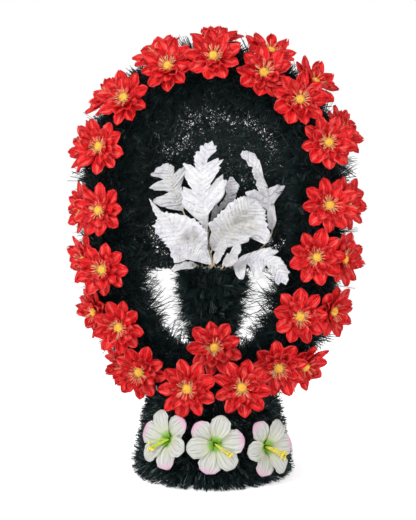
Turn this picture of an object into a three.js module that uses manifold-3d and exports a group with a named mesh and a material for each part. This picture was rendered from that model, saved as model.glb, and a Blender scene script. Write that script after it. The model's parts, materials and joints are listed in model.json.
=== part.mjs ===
// Standing funeral wreath, in millimetres, +Z up, the viewer on the -Y side.
// A tall oval ring of artificial fir stands on a round fir-covered foot. Inside the ring a
// tapered fir post carries a spray of white lobed leaves, and a thin fir net closes the
// opening above the post. Fabric dahlias sit in two rows on the ring, one facing the viewer
// and one on the outer rim, and three fabric lilies sit on the foot.
// The origin is the centre of the foot's underside.
import * as THREE from "three";
import { mergeVertices } from "three/addons/utils/BufferGeometryUtils.js";
import Module from "manifold-3d";

const wasm = await Module();
wasm.setup();

// Clearance between two pieces that touch.
const GAP = 0.3;

// Foot, a truncated cone.
const FOOT_RADIUS = 174;
const FOOT_TOP_RADIUS = 146;
const FOOT_HEIGHT = 168;
const FOOT_EDGE = 10;
const FOOT_SIDES = 40;

// Ring: the centre line of its band, seen from the front.
const RING_HALF_WIDTH = 235;
const RING_WIDEST_HEIGHT = 650;
const RING_TOP_HEIGHT = 894;
const RING_BOTTOM_HEIGHT = 203;
const RING_SIDE_PULL = 195;
const RING_BOTTOM_PULL = 228;
// The band's cross-section, a rounded rectangle.
const BAND_WIDTH = 122;
const BAND_DEPTH = 118;
const BAND_SQUARENESS = 2.6;
const BAND_SIDES = 12;
const RING_STEPS = 44;
// The height in the ring that flower bearings are counted about.
const BEARING_HEIGHT = 560;

// Post, a slim cone standing on the ring's lowest part, wider at its top.
const POST_TOP_HEIGHT = 449;
const POST_TOP_RADIUS = 80;
const POST_FOOT_RADIUS = 33;
const POST_SIDES = 20;

// Net that closes the ring above the post.
const NET_THICKNESS = 18;
const NET_BEHIND_CENTRE = 22;

// Dahlia head.
const DAHLIA_RADIUS = 61;
const DAHLIA_PETALS = 9;
const DAHLIA_TIP_RISE = 15;
const DAHLIA_EYE_RADIUS = 12;
const DAHLIA_EYE_HEIGHT = 19;
const STEM_RADIUS = 5;
const CALYX_RADIUS = 11;
const DAHLIA_INNER_RISE = 19;
const DAHLIA_INNER_DIP = 13;
const FRONT_STANDOFF = 12;
const STEM_REACH = 26;
// How far the two heads in front of the foot's top edge stand forward of the others.
const FOOT_FORWARD = 69;

// Lily head.
const LILY_RADIUS = 62;
const LILY_PETALS = 6;
const LILY_DEPTH = 26;
// How far the stamens' tips stand before the petals and hang to one side.
const LILY_STAMEN_REACH = 14;
const LILY_STAMEN_FALL = 34;
const LILY_THROAT_RADIUS = 7;
const LILY_STANDOFF = 1;

// Leaf of the spray.
const LEAF_STEM_RADIUS = 2;
const LEAF_THICKNESS = 2.4;
// How far the tallest leaf reaches above the post.
const SPRAY_HEIGHT = 280;

const FIR = new THREE.MeshStandardMaterial({ color: 0x0c1714, roughness: 0.75, metalness: 0 });
const RED = new THREE.MeshStandardMaterial({ color: 0xcf1420, roughness: 0.5, metalness: 0 });
const LILY_WHITE = new THREE.MeshStandardMaterial({ color: 0xe6e8dc, roughness: 0.5, metalness: 0 });
const LEAF_WHITE = new THREE.MeshStandardMaterial({ color: 0xe4e4ea, roughness: 0.8, metalness: 0 });

const RIGHT = new THREE.Vector3(1, 0, 0);
const FRONT = new THREE.Vector3(0, -1, 0);

// Solids and meshes

function solidOf(geometry) {
  const bare = geometry.clone();
  bare.deleteAttribute("normal");
  bare.deleteAttribute("uv");
  const merged = mergeVertices(bare, 1e-3);
  return new wasm.Manifold(
    new wasm.Mesh({
      numProp: 3,
      vertProperties: merged.attributes.position.array,
      triVerts: new Uint32Array(merged.index.array),
    }),
  );
}

function largestOf(solid) {
  return solid.decompose().reduce((a, b) => (b.volume() > a.volume() ? b : a));
}

function meshOf(name, solid, material) {
  const made = solid.getMesh();
  const geometry = new THREE.BufferGeometry();
  geometry.setAttribute("position", new THREE.BufferAttribute(new Float32Array(made.vertProperties), 3));
  geometry.setIndex(new THREE.BufferAttribute(new Uint32Array(made.triVerts), 1));
  geometry.computeVertexNormals();
  const mesh = new THREE.Mesh(geometry, material);
  mesh.name = name;
  return mesh;
}

// A closed skin over loops of points, from the back loop to the front one. Every loop runs
// counter-clockwise about the direction in which the loops follow each other, and the loops may
// have different numbers of points, one point included.
function skin(loops) {
  const points = [];
  const faces = [];
  const rings = loops.map((loop) => loop.map((point) => points.push(point) - 1));
  const cap = (ring, facesBack) => {
    for (let i = 1; i + 1 < ring.length; i++)
      faces.push(facesBack ? [ring[0], ring[i + 1], ring[i]] : [ring[0], ring[i], ring[i + 1]]);
  };
  const join = (back, front) => {
    let i = 0;
    let j = 0;
    while (i < back.length || j < front.length) {
      const stepBack = back.length > 1 && i < back.length;
      const stepFront = front.length > 1 && j < front.length;
      if (!stepBack && !stepFront) break;
      const backFirst = (i + 1) / back.length <= (j + 1) / front.length;
      const a = back[i % back.length];
      const b = front[j % front.length];
      if (stepBack && (backFirst || !stepFront)) faces.push([a, back[++i % back.length], b]);
      else faces.push([a, front[++j % front.length], b]);
    }
  };
  cap(rings[0], true);
  for (let k = 0; k + 1 < rings.length; k++) join(rings[k], rings[k + 1]);
  cap(rings[rings.length - 1], false);
  const geometry = new THREE.BufferGeometry().setFromPoints(points);
  geometry.setIndex(faces.flat());
  return geometry;
}

// A loop of points around +Z. radius and height are given for each point's number.
function loopAround(count, radius, height) {
  return Array.from({ length: count }, (_, i) => {
    const angle = (2 * Math.PI * i) / count;
    const r = radius(i);
    return new THREE.Vector3(r * Math.cos(angle), r * Math.sin(angle), height(i));
  });
}

// Places a shape made around +Z: its +Z faces along `facing`, its +X lies nearest to `across`,
// and it is first turned by `spin` degrees.
function place(geometry, position, facing, across, spin) {
  const z = facing.clone().normalize();
  const y = new THREE.Vector3().crossVectors(z, across).normalize();
  const x = new THREE.Vector3().crossVectors(y, z);
  const matrix = new THREE.Matrix4().makeBasis(x, y, z).setPosition(position);
  matrix.multiply(new THREE.Matrix4().makeRotationZ(THREE.MathUtils.degToRad(spin)));
  return geometry.applyMatrix4(matrix);
}

// Ring

function ringPath() {
  const side = RING_WIDEST_HEIGHT - RING_SIDE_PULL;
  const point = (x, z) => new THREE.Vector2(x, z);
  const path = new THREE.CurvePath();
  const rise = RING_TOP_HEIGHT - RING_WIDEST_HEIGHT;
  const quarter = (from, to) =>
    new THREE.EllipseCurve(0, RING_WIDEST_HEIGHT, RING_HALF_WIDTH, rise, from, to, true);
  path.add(quarter(Math.PI / 2, 0));
  path.add(
    new THREE.CubicBezierCurve(
      point(RING_HALF_WIDTH, RING_WIDEST_HEIGHT),
      point(RING_HALF_WIDTH, side),
      point(RING_BOTTOM_PULL, RING_BOTTOM_HEIGHT),
      point(0, RING_BOTTOM_HEIGHT),
    ),
  );
  path.add(
    new THREE.CubicBezierCurve(
      point(0, RING_BOTTOM_HEIGHT),
      point(-RING_BOTTOM_PULL, RING_BOTTOM_HEIGHT),
      point(-RING_HALF_WIDTH, side),
      point(-RING_HALF_WIDTH, RING_WIDEST_HEIGHT),
    ),
  );
  path.add(quarter(Math.PI, Math.PI / 2));
  return path;
}

const PATH = ringPath();

// The ring's centre line at a share of its length, clockwise from the top, with the direction
// outwards and the direction along the ring.
function ringAt(share) {
  const p = PATH.getPoint(((share % 1) + 1) % 1);
  const t = PATH.getTangent(((share % 1) + 1) % 1);
  return {
    centre: new THREE.Vector3(p.x, 0, p.y),
    outward: new THREE.Vector3(-t.y, 0, t.x),
    along: new THREE.Vector3(t.x, 0, t.y),
  };
}

// The ring's place at a bearing, in degrees clockwise from the top, about BEARING_HEIGHT.
function ringAtBearing(bearing) {
  const target = THREE.MathUtils.degToRad(bearing);
  const samples = 720;
  let best = 0;
  let least = Infinity;
  for (let i = 0; i < samples; i++) {
    const { centre } = ringAt(i / samples);
    const seen = Math.atan2(centre.x, centre.z - BEARING_HEIGHT);
    const off = Math.abs(Math.atan2(Math.sin(seen - target), Math.cos(seen - target)));
    if (off < least) {
      least = off;
      best = i / samples;
    }
  }
  return ringAt(best);
}

function ringSolid(margin) {
  const points = [];
  const faces = [];
  const power = (value) => Math.sign(value) * Math.abs(value) ** (2 / BAND_SQUARENESS);
  for (let i = 0; i < RING_STEPS; i++) {
    const { centre, outward } = ringAt(i / RING_STEPS);
    for (let k = 0; k < BAND_SIDES; k++) {
      const angle = (2 * Math.PI * (k + 0.5)) / BAND_SIDES;
      points.push(
        centre
          .clone()
          .addScaledVector(outward, (BAND_WIDTH / 2 + margin) * power(Math.cos(angle)))
          .addScaledVector(FRONT, (BAND_DEPTH / 2 + margin) * power(Math.sin(angle))),
      );
      const here = i * BAND_SIDES;
      const next = ((i + 1) % RING_STEPS) * BAND_SIDES;
      const side = (k + 1) % BAND_SIDES;
      faces.push([here + k, next + side, next + k], [here + k, here + side, next + side]);
    }
  }
  const geometry = new THREE.BufferGeometry().setFromPoints(points);
  geometry.setIndex(faces.flat());
  return solidOf(geometry);
}

const ring = ringSolid(0);
const ringRoom = ringSolid(GAP);

// Foot, post and net

// A cone standing upright, grown all round by `margin`. Its top edge is rounded by one step.
function coneSolid(radius, topRadius, from, to, edge, sides, margin) {
  const profile = [
    [0, from - margin],
    [radius + margin, from - margin],
    [topRadius + margin, to - edge],
    [topRadius - edge + margin, to + margin],
    [0, to + margin],
  ].map(([r, z]) => new THREE.Vector2(r, z));
  return solidOf(new THREE.LatheGeometry(profile, sides).rotateX(Math.PI / 2));
}

const footSolid = (margin) =>
  coneSolid(FOOT_RADIUS, FOOT_TOP_RADIUS, 0, FOOT_HEIGHT, FOOT_EDGE, FOOT_SIDES, margin);
const postSolid = (margin) =>
  coneSolid(POST_FOOT_RADIUS, POST_TOP_RADIUS, RING_BOTTOM_HEIGHT, POST_TOP_HEIGHT, 0.01, POST_SIDES, margin);

function netSolid() {
  const shape = new THREE.Shape();
  const steps = 28;
  for (let i = 0; i <= steps; i++) {
    const { centre } = ringAt(i / steps);
    if (i === 0) shape.moveTo(centre.x, centre.z);
    else shape.lineTo(centre.x, centre.z);
  }
  const sheet = new THREE.ExtrudeGeometry(shape, { depth: NET_THICKNESS, bevelEnabled: false });
  sheet.rotateX(Math.PI / 2).translate(0, NET_BEHIND_CENTRE + NET_THICKNESS / 2, 0);
  const keep = new THREE.BoxGeometry(2 * RING_HALF_WIDTH, BAND_DEPTH, RING_TOP_HEIGHT);
  keep.translate(0, 0, POST_TOP_HEIGHT + GAP + RING_TOP_HEIGHT / 2);
  return solidOf(sheet).intersect(solidOf(keep)).subtract(ringRoom);
}

// Dahlias

// A head around +Z: nine pointed petals, a shorter cupped one over each of them and a domed
// eye, over a calyx and a stem that runs back along -Z.
function dahliaHead(stem) {
  const R = DAHLIA_RADIUS;
  const petal = [
    [1, DAHLIA_TIP_RISE],
    [0.87, 12],
    [0.56, 9],
    [0.87, 12],
  ];
  return skin([
    loopAround(6, () => STEM_RADIUS, () => -stem),
    loopAround(DAHLIA_PETALS, () => CALYX_RADIUS, () => 1),
    loopAround(4 * DAHLIA_PETALS, (i) => R * petal[i % 4][0], (i) => petal[i % 4][1]),
    loopAround(2 * DAHLIA_PETALS, (i) => R * (i % 2 ? 0.44 : 0.64), (i) =>
      i % 2 ? DAHLIA_INNER_DIP : DAHLIA_INNER_RISE,
    ),
    loopAround(DAHLIA_PETALS, () => DAHLIA_EYE_RADIUS, () => DAHLIA_EYE_HEIGHT - 4),
    [new THREE.Vector3(0, 0, DAHLIA_EYE_HEIGHT)],
  ]);
}

// The front row: bearing and turn in degrees, how far outwards of the band's centre line the
// head sits, how far it stands forward of its neighbours, and how far it leans outwards.
const FRONT_ROW = [
  { bearing: 2, out: 9, forward: 7, spin: 18, lean: 10 },
  { bearing: 21, out: 4, forward: 0, spin: 15, lean: 12 },
  { bearing: 38, out: 9, forward: 10, spin: 3, lean: 12 },
  { bearing: 57, out: 27, forward: 0, spin: 30, lean: 8 },
  { bearing: 84, out: 22, forward: 0, spin: 26, lean: 6 },
  { bearing: 111, out: 2, forward: 0, spin: 0, lean: 4 },
  { bearing: 137, out: -6, forward: 0, spin: 8, lean: 6 },
  { bearing: 156, out: 16, forward: 7, spin: 15, lean: 8 },
  { bearing: 168, out: 10, forward: FOOT_FORWARD, spin: 38, lean: -6 },
  { bearing: 186, out: 6, forward: FOOT_FORWARD, spin: 22, lean: -6 },
  { bearing: 203, out: 27, forward: 7, spin: 30, lean: 8 },
  { bearing: 219, out: 6, forward: 0, spin: 36, lean: 8 },
  { bearing: 243, out: 8, forward: 0, spin: 0, lean: 10 },
  { bearing: 274, out: 5, forward: 0, spin: 2, lean: 14 },
  { bearing: 304, out: 13, forward: 0, spin: 23, lean: 10 },
  { bearing: 325, out: 9, forward: 7, spin: 15, lean: 14 },
  { bearing: 345, out: 9, forward: 0, spin: 32, lean: 10 },
];

// The rim row: bearing and turn in degrees, and how far outwards of the band's centre line the
// head sits. It is pressed into the band's outer front edge.
const SIDE_ROW = [
  { bearing: 2, out: 56, spin: 10 },
  { bearing: 18, out: 58, spin: 30 },
  { bearing: 35, out: 62, spin: 5 },
  { bearing: 53, out: 60, spin: 20 },
  { bearing: 82, out: 56, spin: 0 },
  { bearing: 110, out: 56, spin: 5 },
  { bearing: 132, out: 54, spin: 35 },
  { bearing: 151, out: 54, spin: 10 },
  { bearing: 207, out: 54, spin: 25 },
  { bearing: 227, out: 54, spin: 0 },
  { bearing: 249, out: 54, spin: 20 },
  { bearing: 277, out: 54, spin: 10 },
  { bearing: 303, out: 54, spin: 35 },
  { bearing: 322, out: 57, spin: 15 },
  { bearing: 343, out: 57, spin: 0 },
];
// How far a rim head faces forward of straight outwards, and where it sits before the centre.
const SIDE_FORWARD = THREE.MathUtils.degToRad(42);
const SIDE_BEFORE = 20;
// Room that a front head's petals keep from the rim heads behind them.
const PETAL_ROOM = 1;
// The single head low on the post.
const POST_DAHLIA = { x: 13, height: 279, front: 76, spin: 20, stem: 60 };

function placeFront(geometry, { bearing, out, forward, spin, lean }) {
  const { centre, outward } = ringAtBearing(bearing);
  const position = centre
    .clone()
    .addScaledVector(outward, out)
    .addScaledVector(FRONT, BAND_DEPTH / 2 + FRONT_STANDOFF + forward);
  const facing = FRONT.clone().addScaledVector(outward, Math.tan(THREE.MathUtils.degToRad(lean)));
  return place(geometry, position, facing, RIGHT, spin);
}

function frontDahlia(row) {
  const head = placeFront(dahliaHead(STEM_REACH + row.forward), row);
  return largestOf(solidOf(head).subtract(ringRoom));
}

// The space that a front head takes, grown all round.
function frontRoom(row) {
  const sides = 24;
  const grown = (radius) => (radius + PETAL_ROOM) / Math.cos(Math.PI / sides);
  const loop = (radius, height) => loopAround(sides, () => grown(radius), () => height);
  const body = skin([
    loop(STEM_RADIUS, -STEM_REACH - row.forward),
    loop(CALYX_RADIUS, -PETAL_ROOM),
    loop(DAHLIA_RADIUS, DAHLIA_TIP_RISE - 2 * PETAL_ROOM),
    loop(DAHLIA_RADIUS, DAHLIA_TIP_RISE + PETAL_ROOM),
    loop(0.7 * DAHLIA_RADIUS, DAHLIA_EYE_HEIGHT + 2 * PETAL_ROOM),
  ]);
  return solidOf(placeFront(body, row));
}

const frontRooms = FRONT_ROW.map(frontRoom).reduce((a, b) => a.add(b));

function sideDahlia({ bearing, out, spin }) {
  const { centre, outward, along } = ringAtBearing(bearing);
  const position = centre.clone().addScaledVector(outward, out).addScaledVector(FRONT, SIDE_BEFORE);
  const facing = outward
    .clone()
    .multiplyScalar(Math.cos(SIDE_FORWARD))
    .addScaledVector(FRONT, Math.sin(SIDE_FORWARD));
  const head = place(dahliaHead(STEM_REACH), position, facing, along, spin);
  return largestOf(solidOf(head).subtract(ringRoom).subtract(frontRooms));
}

function postDahlia({ x, height, front, spin, stem }) {
  const position = new THREE.Vector3(x, -front, height);
  const head = place(dahliaHead(stem), position, FRONT, RIGHT, spin);
  return largestOf(solidOf(head).subtract(ringRoom).subtract(postSolid(GAP)));
}

// Lilies

// A trumpet around +Z with six broad petals, open at the throat.
function lilyFlower() {
  const R = LILY_RADIUS;
  const outline = 6 * LILY_PETALS;
  const petal = [1, 0.93, 0.72, 0.46, 0.72, 0.93];
  const rise = [0, 3, 4, 2, 4, 3];
  return skin([
    loopAround(6, () => STEM_RADIUS, () => -STEM_REACH),
    loopAround(6, () => LILY_THROAT_RADIUS + 2, () => 2),
    loopAround(12, () => 0.3 * R, () => LILY_DEPTH - 10),
    loopAround(outline, (i) => R * petal[i % 6], (i) => LILY_DEPTH + rise[i % 6]),
    loopAround(12, () => 0.42 * R, () => LILY_DEPTH + 1),
    loopAround(6, () => LILY_THROAT_RADIUS, () => LILY_DEPTH / 2),
    [new THREE.Vector3(0, 0, LILY_DEPTH / 3)],
  ]);
}

// A slim bundle of stamens that hangs out of the throat towards `droop`, in degrees clockwise
// from the top.
function lilyStamens(droop) {
  const angle = THREE.MathUtils.degToRad(droop);
  const fall = (share) =>
    new THREE.Vector3(Math.sin(angle), Math.cos(angle), 0).multiplyScalar(share * LILY_STAMEN_FALL);
  const ring = (radius, height, share) =>
    loopAround(4, () => radius, () => height).map((point) => point.add(fall(share)));
  return skin([
    ring(3, LILY_DEPTH / 6, 0),
    ring(4, LILY_DEPTH, 0.35),
    ring(3, LILY_DEPTH + LILY_STAMEN_REACH, 1),
  ]);
}

// Bearing round the foot, height up its side, turn and tilt of each head, and the way its
// stamens hang, in degrees.
const LILIES = {
  lily_left: { bearing: -25.6, height: 92, spin: 109, tilt: 6, swing: -6, droop: 225 },
  lily_centre: { bearing: 7, height: 92, spin: 71, tilt: -4, swing: 4, droop: 120 },
  lily_right: { bearing: 45, height: 76, spin: 62, tilt: 0, swing: -4, droop: 126 },
};

function lily({ bearing, height, spin, tilt, swing, droop }) {
  const angle = THREE.MathUtils.degToRad(bearing);
  const facingAngle = THREE.MathUtils.degToRad(bearing + swing);
  const slope = (FOOT_RADIUS - FOOT_TOP_RADIUS) / FOOT_HEIGHT;
  const radius = FOOT_RADIUS - slope * height + LILY_STANDOFF;
  const position = new THREE.Vector3(radius * Math.sin(angle), -radius * Math.cos(angle), height);
  const lift = slope + Math.tan(THREE.MathUtils.degToRad(tilt));
  const facing = new THREE.Vector3(Math.sin(facingAngle), -Math.cos(facingAngle), lift);
  const across = new THREE.Vector3(Math.cos(facingAngle), Math.sin(facingAngle), 0);
  const flower = solidOf(place(lilyFlower(), position, facing, across, spin));
  const stamens = solidOf(place(lilyStamens(droop), position, facing, across, 0));
  return largestOf(flower.add(stamens).subtract(footSolid(GAP)));
}

// Leaves

// foot: where the stem stands on the post's top, in percent of its radius. joint: where the
// blade begins, tip: where it ends, and bow: how far its midrib bends away from the straight line
// between them, counted from the middle of the post's top. edges: at a share of the midrib, how
// far off the left edge and the right edge lie, each across the midrib and then along it. All
// these lengths are in percent of the spray's height. face: the way the upper side looks. cup:
// how far the blade's edges rise, as a share of their distance from the midrib.
const LEAVES = {
  leaf_tall: {
    foot: [-5, -37.5], joint: [-2.9, -15.7, 28.2], tip: [1.6, -18.6, 100.2], bow: [-11.4, -2.9, 5.2],
    face: [0.05, -1, 0.05], cup: 0.08,
    edges: [
      [0.09, 5.4, 3.5, -4.1, 6.6], [0.19, 14.5, 6.4, -16.2, 9.4], [0.25, 15.2, 10.1, -20.4, 14.8],
      [0.3, 13, 11.7, -17.5, 19.1], [0.35, 7.3, 5.6, -11.1, 11.9], [0.39, 9.9, 7, -6.8, 5.2],
      [0.51, 16.2, 13.2, -12.2, 10.4], [0.55, 11.7, 10.1, -11.9, 11.1], [0.59, 6.5, 4.8, -14.2, 13.1],
      [0.64, 7.6, 4.7, -9.2, 11], [0.71, 9.1, 4.6, -1.6, 1.4], [0.74, 8.6, 4.5, -1.6, 1.9],
      [0.87, 5, 2.6, -6.4, 3], [0.93, 2.3, 1.3, -3.5, 1.6],
    ],
  },
  leaf_left: {
    foot: [-25, -12.5], joint: [-23.5, -5, 46.1], tip: [-35.5, -8.6, 84.1], bow: [-3.3, 3.7, 0.1],
    face: [-0.1, -1, 0.1], cup: 0.1,
    edges: [
      [0.06, 6.5, 1.5, -2.2, 0.1], [0.13, 13.4, 3.9, -4.3, 0.7], [0.21, 19.6, 7.9, -5.1, 2.2],
      [0.33, 5.7, 4.2, -6.5, 4.3], [0.37, 8.6, 6, -6.9, 5.1], [0.47, 18.4, 6.5, -12.1, 7.1],
      [0.51, 14.5, 6.3, -13.4, 8.2], [0.56, 8.6, 5.6, -13.1, 10.5], [0.7, 13.3, 4.6, -3, 2.3],
      [0.82, 10.8, 4.3, -5.4, 3.3], [0.93, 4, 2.2, -0.9, 1.2],
    ],
  },
  leaf_left_low: {
    foot: [-20, -52.5], joint: [1.4, -20, 4.9], tip: [-48.4, -21.4, 55.3], bow: [0.2, -9.2, 0.2],
    face: [-0.1, -1, 0.3], cup: 0.14,
    edges: [
      [0.06, 6.7, 2.2, -2.6, 0.4], [0.13, 12.8, 6.2, -5.7, 0.8], [0.17, 19.4, 6.4, -8.1, 0.9],
      [0.23, 19.8, 9.5, -11.7, 0.1], [0.36, 15.6, 12, -14.4, 2.4], [0.42, 15.8, 11.4, -13.6, 3.6],
      [0.57, 12.8, 10.9, -6.7, 5.3], [0.66, 7.8, 6.4, -2.7, 5.9], [0.7, 5.8, 4.4, -0.1, 5.3],
      [0.93, 1.7, 1.7, 0.7, 1.1],
    ],
  },
  leaf_left_rim: {
    foot: [-32.5, -67.5], joint: [-10.2, -25, 2.2], tip: [-29.1, -32.9, -0.9], bow: [-0.4, -1.6, 1],
    face: [-0.1, -0.9, 0.5], cup: 0.05,
    edges: [
      [0.06, 2.1, 0.2, -1.8, -0.4], [0.13, 3, 0, -2.9, -0.6], [0.42, 2.8, 0.4, -5.1, -0.3],
      [0.7, 3, 0.9, -3.3, 0.5], [0.93, 1, 1, -0.7, 0.9],
    ],
  },
  leaf_left_front: {
    foot: [-17.5, -77.5], joint: [1.7, -29.3, 3.1], tip: [-21.2, -37.1, 15.5], bow: [-0.2, -3, -0.6],
    face: [-0.05, -0.95, 0.3], cup: 0.22,
    edges: [
      [0.06, 0.9, 0.4, -1.9, -0.6], [0.32, 2.7, 1.1, -6.4, -1], [0.47, 3.8, 1.6, -7.1, -0.1],
      [0.73, 5.2, 2.7, -5, 1.3], [0.91, 2.5, 2.8, -3.2, 2],
    ],
  },
  leaf_right: {
    foot: [15, -55], joint: [1.6, -18.6, 14.4], tip: [36.4, -16.4, 53.1], bow: [-1.3, 5, 0.9],
    face: [0.1, -1, 0.1], cup: 0.34,
    edges: [
      [0.07, 5.5, -0.6, -6, 3], [0.15, 8.9, 1.5, -12.3, 5.5], [0.23, 14.6, 0.5, -16.3, 8.5],
      [0.3, 13.7, 3.1, -17, 12.8], [0.35, 13.7, 4.7, -20.8, 13.3], [0.44, 13.1, 7.9, -29.8, 7.1],
      [0.56, 12.6, 9.2, -23.6, 11.9], [0.74, 10.2, 8, -12.2, 10.6], [0.79, 8.3, 6.7, -10.2, 9.7],
      [0.93, 2.5, 2.7, -2.9, 3.6],
    ],
  },
  leaf_back: {
    foot: [10, -15], joint: [-0.9, -4.3, 33.9], tip: [16.9, -7.9, 72.6], bow: [2.1, 1.9, -0.2],
    face: [0.1, -1, 0], cup: 0.08,
    edges: [
      [0.06, 2.3, 1.1, -0.2, 3.4], [0.17, 4.5, 2.1, -0.1, 5.2], [0.32, 3.9, 3.8, -3.8, 6.8],
      [0.37, 1.8, -0.1, -5.7, 2.5], [0.48, 1.2, -0.4, -7.5, 3.9], [0.52, -0.3, -0.6, -8.6, 4.2],
      [0.64, -0.8, 0.5, -7.2, 5.4], [0.73, 2.5, -0, -7.4, 5.1], [0.94, 2.1, 1.6, -1.3, 1.4],
    ],
  },
  leaf_right_tall: {
    foot: [37.5, -20], joint: [48.4, -7.1, 30.4], tip: [23.8, -15, 89.5], bow: [16.6, 7.8, 11.6],
    face: [0.3, -1, 0], cup: 0.16,
    edges: [
      [0.06, 4.9, 2.6, -2.6, 1.5], [0.12, 6.5, 8.4, -2.1, 3.9], [0.18, 15.2, 7.1, -1.4, 6],
      [0.22, 20.2, 8.4, -2.7, 6.8], [0.29, 13.1, 11.6, -9.7, 6.9], [0.33, 9.4, 7.1, -12.4, 7.5],
      [0.38, 9.4, 7, -7.8, 6.2], [0.45, 8.7, 6.8, 0.3, 0.4], [0.58, 7.6, 6.6, -0.1, 2.5],
      [0.73, 1.6, 4.1, -4.5, 3.9], [0.8, 3.6, 2.8, -6.1, 4.3], [0.95, 1.7, 1.4, -2.8, 4.2],
    ],
  },
  leaf_small: {
    foot: [2.5, -77.5], joint: [4.2, -27.9, 4.4], tip: [14.4, -33.6, 26], bow: [-2, -0.8, 0.9],
    face: [-0.3, -0.95, 0], cup: 0.3,
    edges: [
      [0.06, 1.1, -0.3, -3, -0.7], [0.21, 1.8, -0.2, -5.1, -0.5], [0.45, 1.8, 0.2, -6.5, 0.8],
      [0.61, 1.6, 0.5, -6.9, 1.9], [0.93, 0.3, 0.9, -0.5, 0.9],
    ],
  },
  leaf_small_right: {
    foot: [30, -67.5], joint: [11.5, -28.6, 1.9], tip: [23.6, -34.3, 21.1], bow: [0.8, -2.3, -0.5],
    face: [-0.2, -0.95, 0], cup: 0.25,
    edges: [
      [0.06, 1.8, -0.6, -3.2, 0.6], [0.18, 2.5, -0.4, -5.4, 0.4], [0.42, 2.9, 0.6, -7.7, 1.2],
      [0.55, 1.4, -0.9, -5.3, 0.8], [0.78, 1.3, 0.1, -4.4, 1.9], [0.93, 0.4, 0.7, -0.8, 1.1],
    ],
  },
  leaf_right_rim: {
    foot: [55, -55], joint: [18, -23.6, 2.6], tip: [59.1, -35.7, -12.2], bow: [9, 8.3, 23.2],
    face: [0.1, -0.85, 0.45], cup: 0.03,
    edges: [
      [0.07, 2.8, 2.3, -16.9, -1.6], [0.12, 4.3, 4.2, -3.8, 2.8], [0.3, 7.1, 10.6, -18.7, 1.2],
      [0.35, 7.3, 12.7, -18, 5.9], [0.4, 7.7, 14.3, -13.4, 5.3], [0.48, 4.2, 3.2, -4.9, 2.8],
      [0.64, 6.9, 4.4, -7.1, 4.1], [0.8, 6.7, 4.7, -7.4, 6.7], [0.86, 4, 3, -5.9, 7],
      [0.91, 3.2, 2.7, -3.1, 3.2],
    ],
  },
};

function leafSolid({ foot, joint, tip, bow, face, cup, edges }) {
  const sized = (share) => (share / 100) * SPRAY_HEIGHT;
  const above = ([x, y, z]) => new THREE.Vector3(sized(x), sized(y), POST_TOP_HEIGHT + GAP + sized(z));
  const [seatX, seatY] = foot.map((share) => (share / 100) * POST_TOP_RADIUS);
  const seat = new THREE.Vector3(seatX, seatY, POST_TOP_HEIGHT + GAP);
  const start = above(joint);
  const end = above(tip);
  const middle = start.clone().lerp(end, 0.5).add(new THREE.Vector3(...bow.map(sized)));
  const midrib = new THREE.QuadraticBezierCurve3(start, middle, end);
  const upper = new THREE.Vector3(...face).normalize();
  const frameOf = (along) => {
    const side = new THREE.Vector3().crossVectors(upper, along).normalize();
    return { along, side, up: new THREE.Vector3().crossVectors(along, side) };
  };
  const square = (centre, along, radius) => {
    const { side, up } = frameOf(along);
    return [side, up, side.clone().negate(), up.clone().negate()].map((d) =>
      centre.clone().addScaledVector(d, radius),
    );
  };
  const rise = new THREE.Vector3(0, 0, 1);
  const loops = [
    square(seat, rise, LEAF_STEM_RADIUS),
    square(start, midrib.getTangent(0), LEAF_STEM_RADIUS),
  ];
  for (const [share, left, leftAlong, right, rightAlong] of edges) {
    const centre = midrib.getPoint(share);
    const { along, side, up } = frameOf(midrib.getTangent(share));
    const edge = (across, ahead) =>
      centre
        .clone()
        .addScaledVector(side, sized(across))
        .addScaledVector(along, sized(ahead))
        .addScaledVector(up, sized(Math.abs(across)) * cup);
    loops.push([
      edge(left, leftAlong),
      centre.clone().addScaledVector(up, LEAF_THICKNESS / 2),
      edge(right, rightAlong),
      centre.clone().addScaledVector(up, -LEAF_THICKNESS / 2),
    ]);
  }
  loops.push([end]);
  return solidOf(skin(loops));
}

// The whole object

const wreath = new THREE.Group();
const firWork = new THREE.Group();
firWork.add(meshOf("fir_foot", footSolid(0).subtract(ringRoom), FIR));
firWork.add(meshOf("fir_ring", ring, FIR));
firWork.add(meshOf("fir_post", largestOf(postSolid(0).subtract(ringRoom)), FIR));
firWork.add(meshOf("fir_net", netSolid(), FIR));
wreath.add(firWork);

const flowers = new THREE.Group();
const numbered = (stem, index) => `${stem}_${String(index + 1).padStart(2, "0")}`;
FRONT_ROW.forEach((row, i) => flowers.add(meshOf(numbered("dahlia_front", i), frontDahlia(row), RED)));
SIDE_ROW.forEach((row, i) => flowers.add(meshOf(numbered("dahlia_rim", i), sideDahlia(row), RED)));
flowers.add(meshOf("dahlia_post", postDahlia(POST_DAHLIA), RED));
for (const [name, row] of Object.entries(LILIES)) flowers.add(meshOf(name, lily(row), LILY_WHITE));
wreath.add(flowers);

const spray = new THREE.Group();
for (const [name, row] of Object.entries(LEAVES)) spray.add(meshOf(name, leafSolid(row), LEAF_WHITE));
wreath.add(spray);

export default wreath;
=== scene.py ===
import json
import math

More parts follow.
